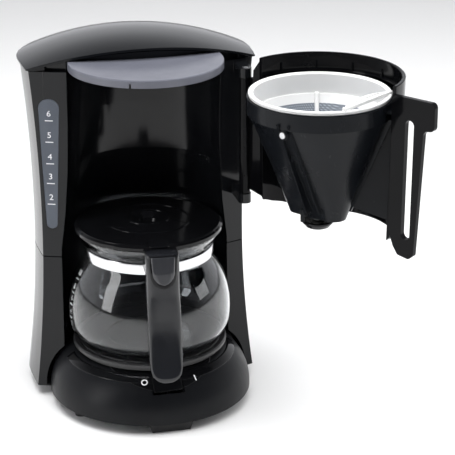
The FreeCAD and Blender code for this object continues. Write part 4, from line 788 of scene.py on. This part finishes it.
def studio():
    """A world that is bright behind and low, three soft lights and a pale floor."""
    world = bpy.data.worlds.new("studio")
    bpy.context.scene.world = world
    world.use_nodes = True
    tree = world.node_tree
    back = tree.nodes["Background"]
    coords = tree.nodes.new("ShaderNodeTexCoord")
    split = tree.nodes.new("ShaderNodeSeparateXYZ")
    ramp = tree.nodes.new("ShaderNodeValToRGB")
    shift = tree.nodes.new("ShaderNodeMapRange")
    link(tree, coords.outputs["Generated"], split.inputs["Vector"])
    link(tree, split.outputs["Y"], shift.inputs["Value"])
    shift.inputs["From Min"].default_value = -1.0
    shift.inputs["From Max"].default_value = 1.0
    link(tree, shift.outputs["Result"], ramp.inputs["Fac"])
    stops = ramp.color_ramp.elements
    stops[0].position = 0.2
    stops[0].color = (0.09, 0.093, 0.1, 1)
    stops[1].position = 0.58
    stops[1].color = (0.95, 0.96, 1.0, 1)
    height = ranged(tree, split.outputs["Z"], 1.0, 0.12, 0.3, 0.72)
    dimmed = tree.nodes.new("ShaderNodeVectorMath")
    dimmed.operation = "SCALE"
    link(tree, ramp.outputs["Color"], dimmed.inputs[0])
    link(tree, height, dimmed.inputs["Scale"])
    link(tree, dimmed.outputs["Vector"], back.inputs["Color"])
    back.inputs["Strength"].default_value = 1.0
    top = area("top_softbox", (0.0, -0.15, 1.3), (0.02, 0, 0.1), 1.6, 1.4, 36)
    top.visible_glossy = False
    area("left_softbox", (-1.1, -0.35, 0.5), (0, 0, 0.13), 0.35, 0.9, 4)
    right = area("right_softbox", (1.2, -0.3, 0.6), (0.05, 0, 0.13), 0.5, 0.9, 6)
    right.visible_glossy = False
    floor = mesh_from("floor", [(-4, -4, 0), (4, -4, 0), (4, 4, 0), (-4, 4, 0)], [(0, 1, 2, 3)], False)
    mat, _, shader = new_material("floor_paint")
    shader.inputs["Base Color"].default_value = (0.9, 0.9, 0.9, 1)
    shader.inputs["Roughness"].default_value = 0.6
    floor.materials.append(mat)
    obj = bpy.data.objects.new("floor", floor)
    bpy.context.scene.collection.objects.link(obj)
    scene = bpy.context.scene
    scene.view_settings.view_transform = "Standard"


camera()
studio()
jug()
handle()
jug_lid()
marks()
base_details()
filter_details()
door_details()
